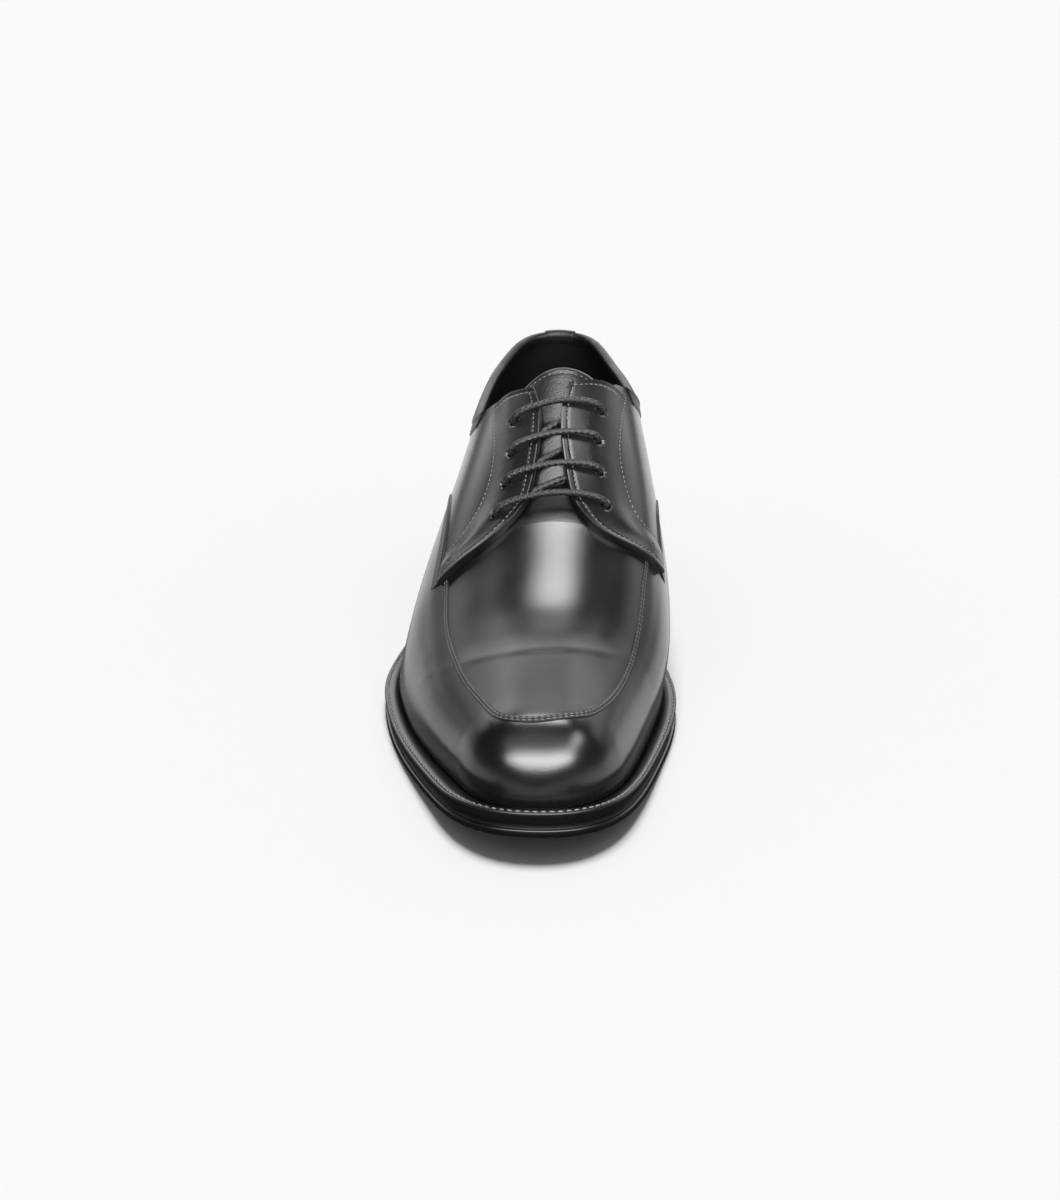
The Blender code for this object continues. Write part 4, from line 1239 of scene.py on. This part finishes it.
def heel_tab_sheet():
    """The outer and inner side of the strip up the back."""
    x = np.linspace(-HEEL_TAB_HALF_WIDTH, HEEL_TAB_HALF_WIDTH, HEEL_TAB_COLUMNS)
    lateral = FEATHER_LATERAL[FEATHER_LATERAL[:, 1] < HEEL_TAB_BACK]
    medial = FEATHER_MEDIAL[FEATHER_MEDIAL[:, 1] < HEEL_TAB_BACK]
    heel = np.vstack([lateral[:0:-1], medial])
    feet = np.c_[x, np.interp(x, heel[:, 0], heel[:, 1])]
    paths = last_columns(feet)
    top = wrap_edge(paths, [WrapPoint(row.below, row.rise) for row in HEEL_TAB_FOLD])
    under = wrap_edge(paths, [WrapPoint(row.under_below, row.under_rise) for row in HEEL_TAB_FOLD])
    drop = rounded(HEEL_TAB_HALF_WIDTH - np.abs(x), HEEL_TAB_EDGE)
    return top + (under - top) * drop[:, None, None], under


def heel_tab_rows():
    """A stitch line down each side of the strip."""
    top, _ = heel_tab_sheet()
    sides = (top[HEEL_TAB_STITCH, :HEEL_TAB_STITCH_ROWS], top[-1 - HEEL_TAB_STITCH, :HEEL_TAB_STITCH_ROWS])
    return [(line, last_normal(line)) for line in sides]


def make_heel_tab():
    """A strip up the back that folds over the collar's edge."""
    top, under = heel_tab_sheet()
    quads = grid_quads(*top.shape[:2])
    return add_sheet("heel_tab_fold", top, under, quads, BINDING, "trim_leather", "heel_tab")


def tongue_sheet():
    """The tongue's fine grid: places along the shoe, points, outward directions, distances from its edges."""
    along = np.linspace(0, 1, TONGUE_ROWS)[:, None]
    across = np.linspace(0, 1, TONGUE_COLUMNS)[None, :]
    top = TONGUE_TOP + TONGUE_TOP_CORNER * np.abs(2 * across - 1) ** TONGUE_CORNER_POWER
    s = top + (TONGUE_FRONT - top) * along
    low = TONGUE_TOP_ANGLES[0] + (TONGUE_FRONT_ANGLES[0] - TONGUE_TOP_ANGLES[0]) * along
    high = TONGUE_TOP_ANGLES[1] + (TONGUE_FRONT_ANGLES[1] - TONGUE_TOP_ANGLES[1]) * along
    point = on_last(s, low + (high - low) * across)
    from_side = lengths_along(point, axis=1)
    from_side = np.minimum(from_side, from_side[:, -1:] - from_side)
    return s, point, last_normal(point), lengths_along(point), from_side


def tongue_height(s):
    """The middle of the tongue's thickness off the last; it comes up to the vamp's edge at their seam."""
    to_seam = smooth_step((s - THROAT_FRONT + TONGUE_SEAM_LENGTH) / TONGUE_SEAM_LENGTH)
    tuck = 1 - smooth_step((s - THROAT_FRONT) / TONGUE_TUCK)
    return -TONGUE_DEPTH - TONGUE_THICKNESS / 2 + TONGUE_SEAM_RISE * to_seam * tuck


def make_tongue():
    """A padded leather tongue with a rounded, stitched top."""
    s, point, out, from_top, from_side = tongue_sheet()
    middle = tongue_height(s)
    half = TONGUE_THICKNESS / 2 - rounded(np.minimum(from_top, from_side), TONGUE_EDGE) / TONGUE_EDGE
    groove = STITCH_DENT * dent(from_top - TONGUE_STITCH, STITCH_DENT_WIDTH)
    top = point + out * (middle + half - groove)[..., None]
    under = point + out * (middle - half)[..., None]
    return add_sheet("tongue_leather", top, under, grid_quads(*s.shape), TONGUE, "leather", "tongue")


def tongue_row():
    s, point, out, from_top, _ = tongue_sheet()
    row = np.argmin(np.abs(from_top - TONGUE_STITCH), axis=0)
    every = np.arange(TONGUE_COLUMNS)
    height = tongue_height(s) + TONGUE_THICKNESS / 2 - STITCH_DENT
    line = point + out * height[..., None]
    inside = slice(TONGUE_STITCH_MARGIN, -TONGUE_STITCH_MARGIN)
    return line[row, every][inside], out[row, every][inside]


# Lace


def lace_run(start, end, table):
    """Places, angles and offsets from one hole to another."""
    start, end = np.array(start), np.array(end)
    return [(*(start + (end - start) * point.share), point.offset + LACE_LIFT) for point in table]


def lace_route():
    """The lace's middle line, from the lowest medial hole to the top lateral one."""
    lateral = LACE_HOLES_LATERAL[::-1]
    medial = LACE_HOLES_MEDIAL[::-1]
    rows = [(*medial[0], LACE_UNDER)]
    for i, (near, far) in enumerate(zip(medial, lateral)):
        rows += lace_run(near, far, LACE_BAR)
        if i + 1 < len(medial):
            rows += lace_run(far, medial[i + 1], LACE_CROSSING)
    rows.append((*lateral[-1], LACE_UNDER))
    s, angle, offset = np.array(rows).T
    return open_curve(on_last(s, angle, offset), LACE_RINGS)


def make_lace():
    """One round cord with a fine braid."""
    route = lace_route()
    along = unit(np.gradient(route, axis=0))
    sides = []
    side = np.cross(along[0], (0.0, 1.0, 0.0))
    for direction in along:
        side = unit(side - direction * (side @ direction))
        sides.append(side)
    sides = np.array(sides)
    others = np.cross(along, sides)
    turn = np.arange(LACE_SIDES) * 2 * np.pi / LACE_SIDES
    length = lengths_along(route)[:, None] * 2 * np.pi / BRAID_PITCH
    strands = np.maximum(np.cos(BRAID_STRANDS * turn + length), np.cos(BRAID_STRANDS * turn - length))
    girth = LACE_GIRTH * (1 - BRAID_DEPTH + BRAID_DEPTH * strands)
    ring = np.cos(turn)[:, None] * sides[:, None] + np.sin(turn)[:, None] * others[:, None]
    points = route[:, None] + ring * girth[..., None]
    numbers = numbered(points)
    faces = [*grid_quads(*points.shape[:2], closed=True), numbers[0], numbers[-1]]
    return add_piece("lace_braid", points, faces, [LACE], "lace", "lace")


# Sole


def welt_loop(row):
    loop = inset(SOLE_LOOP, row.share * WELT_WIDTH + row.inset)[::LOOP_STRIDE]
    height = sole_bottom(loop[:, 1]) + OUTSOLE_THICKNESS + GAP + row.height
    return np.c_[loop, height]


def make_welt():
    """The welt: a rounded rim, a stitch groove and a gutter beside the upper."""
    loops = np.array([welt_loop(row) for row in WELT_PROFILE])
    numbers = numbered(loops)
    faces = ring_quads(np.vstack([numbers, numbers[:1]]))
    return add_piece("welt_strip", loops, faces, [WELT], "welt", "welt")


def plate_ring(loop, height, s_end=None):
    """A plan loop by stations along the shoe, lateral and medial side, with heights from a function of s."""
    lateral, medial = halves(loop)
    turn = np.pi if s_end is None else np.pi / 2
    share = (1 - np.cos(np.linspace(0, turn, PLATE_STATIONS))) / (1 - np.cos(turn))
    low = lateral[0, 1]
    high = lateral[-1, 1] if s_end is None else s_end
    s = low + (high - low) * share
    sides = []
    for side in (lateral, medial):
        sides.append(np.stack([np.interp(s, side[:, 1], side[:, 0]), s, height(s)], axis=-1))
    return np.stack(sides)


def add_plate(name, rings, slot, node):
    """A plate from rings of plan points, bottom first; strips across close its top and bottom."""
    points = np.array([np.vstack([ring[0], ring[1][::-1]]) for ring in rings])
    numbers = numbered(points)
    faces = [ring_quads(numbers)]
    for loop in (numbers[0], numbers[-1]):
        lateral = loop[:PLATE_STATIONS]
        medial = loop[PLATE_STATIONS:][::-1]
        faces.append(np.stack([lateral[:-1], lateral[1:], medial[1:], medial[:-1]], axis=-1))
    return add_piece(name, points, np.vstack(faces), [SOLE], slot, node)


def make_outsole():
    rings = []
    for row in OUTSOLE_PROFILE:
        loop = inset(SOLE_LOOP, row.inset)
        rings.append(plate_ring(loop, lambda s: sole_bottom(s) + row.height))
    return add_plate("outsole_edge", rings, "sole", "outsole")


def make_heel():
    """The heel block in three lifts with a line between each."""
    rings = []
    for row in HEEL_PROFILE:
        loop = inset(SOLE_LOOP, row.inset)
        rings.append(plate_ring(loop, lambda s: sole_bottom(s) * row.share, HEEL_BREAST))
    return add_plate("heel_lifts", rings, "sole", "heel")


# Studio


def aim(thing, place, target):
    thing.location = place
    thing.rotation_euler = (Vector(target) - Vector(place)).to_track_quat("-Z", "Y").to_euler()


def add_camera():
    data = bpy.data.cameras.new("camera")
    data.sensor_width = SENSOR
    data.lens = PHOTO_FOCAL / PHOTO_TALL * SENSOR
    data.dof.use_dof = False
    camera = bpy.data.objects.new("camera", data)
    level = np.cos(CAMERA_ELEVATION)
    back = Vector((np.sin(CAMERA_AZIMUTH) * level, -np.cos(CAMERA_AZIMUTH) * level, np.sin(CAMERA_ELEVATION)))
    aim(camera, CAMERA_TARGET + back * CAMERA_DISTANCE, CAMERA_TARGET)
    bpy.context.scene.collection.objects.link(camera)
    bpy.context.scene.camera = camera


def add_floor():
    """A wide pale floor with its own even light from above, which throws the shoe's soft shadow."""
    half = FLOOR_HALF
    mesh = bpy.data.meshes.new("floor")
    corners = [(-half, -half, 0), (half, -half, 0), (half, half, 0), (-half, half, 0)]
    mesh.from_pydata(corners, [], [(0, 1, 2, 3)])
    mesh.materials.append(floor_material())
    floor = bpy.data.objects.new("floor", mesh)
    STAGE.objects.link(floor)
    floor.visible_glossy = False
    lights = (("floor light", FLOOR_LIGHT, FLOOR_LIGHT_ANGLE), ("floor fill", FLOOR_FILL, FLOOR_FILL_ANGLE))
    for name, strength, angle in lights:
        data = bpy.data.lights.new(name, "SUN")
        data.energy = strength
        data.angle = np.radians(angle)
        light = bpy.data.objects.new(name, data)
        bpy.context.scene.collection.objects.link(light)
        light.light_linking.receiver_collection = STAGE


def add_backdrop():
    """A pale dome round the stage. Only the camera sees it, so it throws no light on the shoe."""
    rise = np.linspace(0, np.pi / 2, BACKDROP_RINGS)[:, None]
    turn = np.arange(BACKDROP_SIDES) * 2 * np.pi / BACKDROP_SIDES
    level = np.cos(rise)
    dome = np.stack(np.broadcast_arrays(level * np.cos(turn), level * np.sin(turn), np.sin(rise)), axis=-1)
    mesh = bpy.data.meshes.new("backdrop")
    quads = grid_quads(BACKDROP_RINGS, BACKDROP_SIDES, closed=True)
    mesh.from_pydata((dome.reshape(-1, 3) * BACKDROP_RADIUS).tolist(), [], quads.tolist())
    mesh.shade_smooth()
    mesh.materials.append(backdrop_material())
    backdrop = bpy.data.objects.new("backdrop", mesh)
    STAGE.objects.link(backdrop)
    backdrop.visible_diffuse = False
    backdrop.visible_glossy = False
    backdrop.visible_shadow = False


def add_soft_boxes():
    """Soft boxes; one that fades is a stack of panels, each a little wider, so that its edge is soft."""
    for box in SOFT_BOXES:
        steps = FADE_STEPS if box.wide_fade else 1
        back = (Vector(box.place) - Vector(box.target)).normalized() * FADE_SPACING
        for step in range(steps):
            grow = (2 * step + 1) / steps - 1
            data = bpy.data.lights.new(box.name, "AREA")
            data.shape = box.shape
            data.size = box.wide + box.wide_fade * grow
            data.size_y = box.tall + box.tall_fade * grow
            area = PANEL_SHARE[box.shape] * data.size * data.size_y
            data.energy = box.radiance / steps * np.pi * area
            light = bpy.data.objects.new(box.name, data)
            aim(light, Vector(box.place) + back * step, box.target)
            light.visible_camera = False
            bpy.context.scene.collection.objects.link(light)
            light.light_linking.receiver_collection = SHOE


def set_surroundings():
    scene = bpy.context.scene
    scene.world = bpy.data.worlds.new("studio")
    scene.world.use_nodes = True
    background = scene.world.node_tree.nodes["Background"]
    background.inputs["Color"].default_value = grey(SURROUNDINGS)
    scene.view_settings.view_transform = "Standard"


# Materials: a finish, and layers of grain with their size and height in millimetres
Finish = namedtuple(
    "Finish", "name dark light roughness roughness_spread coat coat_roughness specular satin", defaults=(0.0,)
)
Layer = namedtuple("Layer", "kind size height detail", defaults=(2.0,))
MOTTLE = Layer("noise", 9.0, 0.0, 5.0)
# The satin sheen fades between these two places along the shoe, in Blender's metres
POLISHED_TO = -0.05
SATIN_FROM = 0.0
SATIN_ROUGHNESS = 0.6


def grey(level):
    return level, level, level, 1.0


def add_texture(nodes, links, place, layer):
    """A noise or cell texture for one layer of a material, in metres of the shoe's frame."""
    texture = nodes.new("ShaderNodeTexVoronoi" if layer.kind == "cells" else "ShaderNodeTexNoise")
    texture.inputs["Scale"].default_value = 1 / (layer.size * MM)
    if layer.kind == "noise":
        texture.inputs["Detail"].default_value = layer.detail
    links.new(place.outputs["Object"], texture.inputs["Vector"])
    return texture.outputs["Distance"] if layer.kind == "cells" else texture.outputs[0]


def add_satin(nodes, links, place, shader, finish):
    """A satin sheen that fades out towards the toe, which is polished."""
    parts = nodes.new("ShaderNodeSeparateXYZ")
    links.new(place.outputs["Object"], parts.inputs["Vector"])
    satin = nodes.new("ShaderNodeMapRange")
    satin.interpolation_type = "SMOOTHSTEP"
    satin.inputs["From Min"].default_value = POLISHED_TO
    satin.inputs["From Max"].default_value = SATIN_FROM
    satin.inputs["To Max"].default_value = finish.satin
    links.new(parts.outputs["Y"], satin.inputs["Value"])
    links.new(satin.outputs["Result"], shader.inputs["Sheen Weight"])
    shader.inputs["Sheen Roughness"].default_value = SATIN_ROUGHNESS


def make_material(finish, layers):
    """A black finish with grain as bumps, a mottled roughness and a faint mottling of its colour."""
    material = bpy.data.materials.new(finish.name)
    material.use_nodes = True
    nodes, links = material.node_tree.nodes, material.node_tree.links
    shader = nodes["Principled BSDF"]
    place = nodes.new("ShaderNodeTexCoord")
    shader.inputs["Coat Weight"].default_value = finish.coat
    shader.inputs["Coat Roughness"].default_value = finish.coat_roughness
    shader.inputs["Specular IOR Level"].default_value = finish.specular
    mottle = add_texture(nodes, links, place, MOTTLE)
    rough = nodes.new("ShaderNodeMapRange")
    rough.inputs["To Min"].default_value = finish.roughness - finish.roughness_spread
    rough.inputs["To Max"].default_value = finish.roughness + finish.roughness_spread
    links.new(mottle, rough.inputs["Value"])
    links.new(rough.outputs["Result"], shader.inputs["Roughness"])
    if finish.satin:
        add_satin(nodes, links, place, shader, finish)
    ramp = nodes.new("ShaderNodeValToRGB")
    for element, level in zip(ramp.color_ramp.elements, (finish.dark, finish.light)):
        element.color = grey(level)
    links.new(mottle, ramp.inputs["Fac"])
    links.new(ramp.outputs["Color"], shader.inputs["Base Color"])
    before = None
    for layer in layers:
        bump = nodes.new("ShaderNodeBump")
        bump.inputs["Strength"].default_value = 1.0
        bump.inputs["Distance"].default_value = layer.height * MM
        links.new(add_texture(nodes, links, place, layer), bump.inputs["Height"])
        if before is not None:
            links.new(before.outputs["Normal"], bump.inputs["Normal"])
        before = bump
    links.new(before.outputs["Normal"], shader.inputs["Normal"])
    links.new(before.outputs["Normal"], shader.inputs["Coat Normal"])
    return material


def floor_material():
    material = bpy.data.materials.new("pale floor")
    material.use_nodes = True
    shader = material.node_tree.nodes["Principled BSDF"]
    shader.inputs["Base Color"].default_value = grey(FLOOR_COLOUR)
    shader.inputs["Roughness"].default_value = 1.0
    shader.inputs["Specular IOR Level"].default_value = 0.0
    return material


def backdrop_material():
    material = bpy.data.materials.new("pale backdrop")
    material.use_nodes = True
    shader = material.node_tree.nodes["Principled BSDF"]
    shader.inputs["Base Color"].default_value = grey(0.0)
    shader.inputs["Specular IOR Level"].default_value = 0.0
    shader.inputs["Emission Color"].default_value = grey(BACKDROP_LEVEL)
    shader.inputs["Emission Strength"].default_value = 1.0
    return material


LEATHER = make_material(
    Finish("polished black calf", 0.001, 0.003, 0.26, 0.03, 0.2, 0.16, 0.5, 0.015),
    (Layer("noise", 14.0, 0.05), Layer("cells", 0.6, 0.012), Layer("noise", 0.6, 0.022, 3.0)),
)
TONGUE = make_material(
    Finish("black tongue leather", 0.001, 0.003, 0.32, 0.05, 0.1, 0.2, 0.34),
    (Layer("noise", 9.0, 0.08), Layer("cells", 0.9, 0.04), Layer("noise", 0.4, 0.025, 3.0)),
)
FACING = make_material(
    Finish("black facing calf", 0.001, 0.003, 0.28, 0.05, 0.1, 0.18, 0.36, 0.02),
    (Layer("noise", 10.0, 0.06), Layer("cells", 0.8, 0.018), Layer("noise", 0.35, 0.015, 3.0)),
)
BINDING = make_material(
    Finish("black binding leather", 0.001, 0.003, 0.42, 0.06, 0.0, 0.3, 0.25),
    (Layer("noise", 5.0, 0.06), Layer("cells", 0.7, 0.02), Layer("noise", 0.4, 0.025, 3.0)),
)
LINING = make_material(
    Finish("black lining leather", 0.001, 0.003, 0.62, 0.08, 0.0, 0.5, 0.08),
    (Layer("noise", 6.0, 0.1), Layer("noise", 0.4, 0.03, 4.0)),
)
WELT = make_material(
    Finish("black welt leather", 0.001, 0.003, 0.3, 0.05, 0.0, 0.25, 0.34),
    (Layer("noise", 3.0, 0.03), Layer("noise", 0.5, 0.012, 4.0)),
)
SOLE = make_material(
    Finish("black rubber", 0.001, 0.003, 0.28, 0.05, 0.0, 0.3, 0.36),
    (Layer("noise", 4.0, 0.03), Layer("noise", 0.6, 0.012, 4.0)),
)
LACE = make_material(
    Finish("waxed black braid", 0.002, 0.006, 0.5, 0.1, 0.0, 0.4, 0.34),
    (Layer("noise", 0.5, 0.05, 3.0), Layer("noise", 0.15, 0.02, 2.0)),
)
# Stitch thread: a dark grey thread whose colour is lifted well above the leather's as a painted highlight, so
# that the stitches show as light dashes
THREAD_WITH_PAINTED_HIGHLIGHT = make_material(
    Finish("waxed dark thread with painted highlight", 0.045, 0.09, 0.5, 0.1, 0.0, 0.3, 0.5),
    (Layer("noise", 0.3, 0.03, 3.0), Layer("noise", 0.1, 0.01, 2.0)),
)


def stitch_lines(lines, seam):
    return [stitch_row(line, out, *seam) for line, out in lines]


def main():
    make_upper()
    make_tongue()
    facings = (
        ("lateral", FACING_LATERAL, LACE_HOLES_LATERAL, TACKS_LATERAL),
        ("medial", FACING_MEDIAL, LACE_HOLES_MEDIAL, TACKS_MEDIAL),
    )
    stitches = [stitch_row(*tongue_row(), *FACING_SEAM)]
    for side, rows, holes, tacks in facings:
        make_facing("facing_" + side + "_leather", "facing_" + side, rows, holes, tacks)
        stitches += stitch_lines(facing_rows(rows), FACING_SEAM)
    wings = (
        ("wing_lateral", (WING_TIP_LATERAL, *WING_LATERAL), 1),
        ("wing_medial", (WING_TIP_MEDIAL, *WING_MEDIAL), -1),
    )
    for node, points, side in wings:
        seam = seam_line(points, WING_STEPS, WING_TUCKS)
        add_band(node + "_edge", node, seam, WING_PROFILE, side)
        stitches += stitch_lines(band_rows(seam, WING_PROFILE, WING_STITCHES, side), FACING_SEAM)
    make_collar()
    make_heel_tab()
    line = wrap_edge(collar_columns(COLLAR_COLUMNS), [COLLAR_STITCH])[:, 0]
    stitches.append(stitch_row(line, last_normal(line), *COLLAR_SEAM))
    stitches += stitch_lines(heel_tab_rows(), COLLAR_SEAM)
    add_stitches("upper_stitching", stitches, THREAD_WITH_PAINTED_HIGHLIGHT, "trim_leather")
    seam = seam_line(APRON_SEAM, APRON_STEPS, APRON_TUCKS)
    add_band("apron_lap", "apron_seam", seam, APRON_PROFILE, 1)
    rows = stitch_lines(band_rows(seam, APRON_PROFILE, APRON_STITCHES, 1), APRON_SEAM_STITCH)
    add_stitches("apron_stitching", rows, THREAD_WITH_PAINTED_HIGHLIGHT, "trim_leather")
    make_lace()
    make_welt()
    line = welt_loop(WELT_STITCH)
    line = np.vstack([line, line[:1]])
    rows = stitch_lines([(line, np.tile(UP, (len(line), 1)))], WELT_SEAM)
    add_stitches("welt_stitching", rows, THREAD_WITH_PAINTED_HIGHLIGHT, "welt")
    make_outsole()
    make_heel()
    insole = frame["nodes"]["insole"]
    insole.material_slots[0].material = LINING
    SHOE.objects.link(insole)
    add_floor()
    add_backdrop()
    add_soft_boxes()
    set_surroundings()
    add_camera()


main()
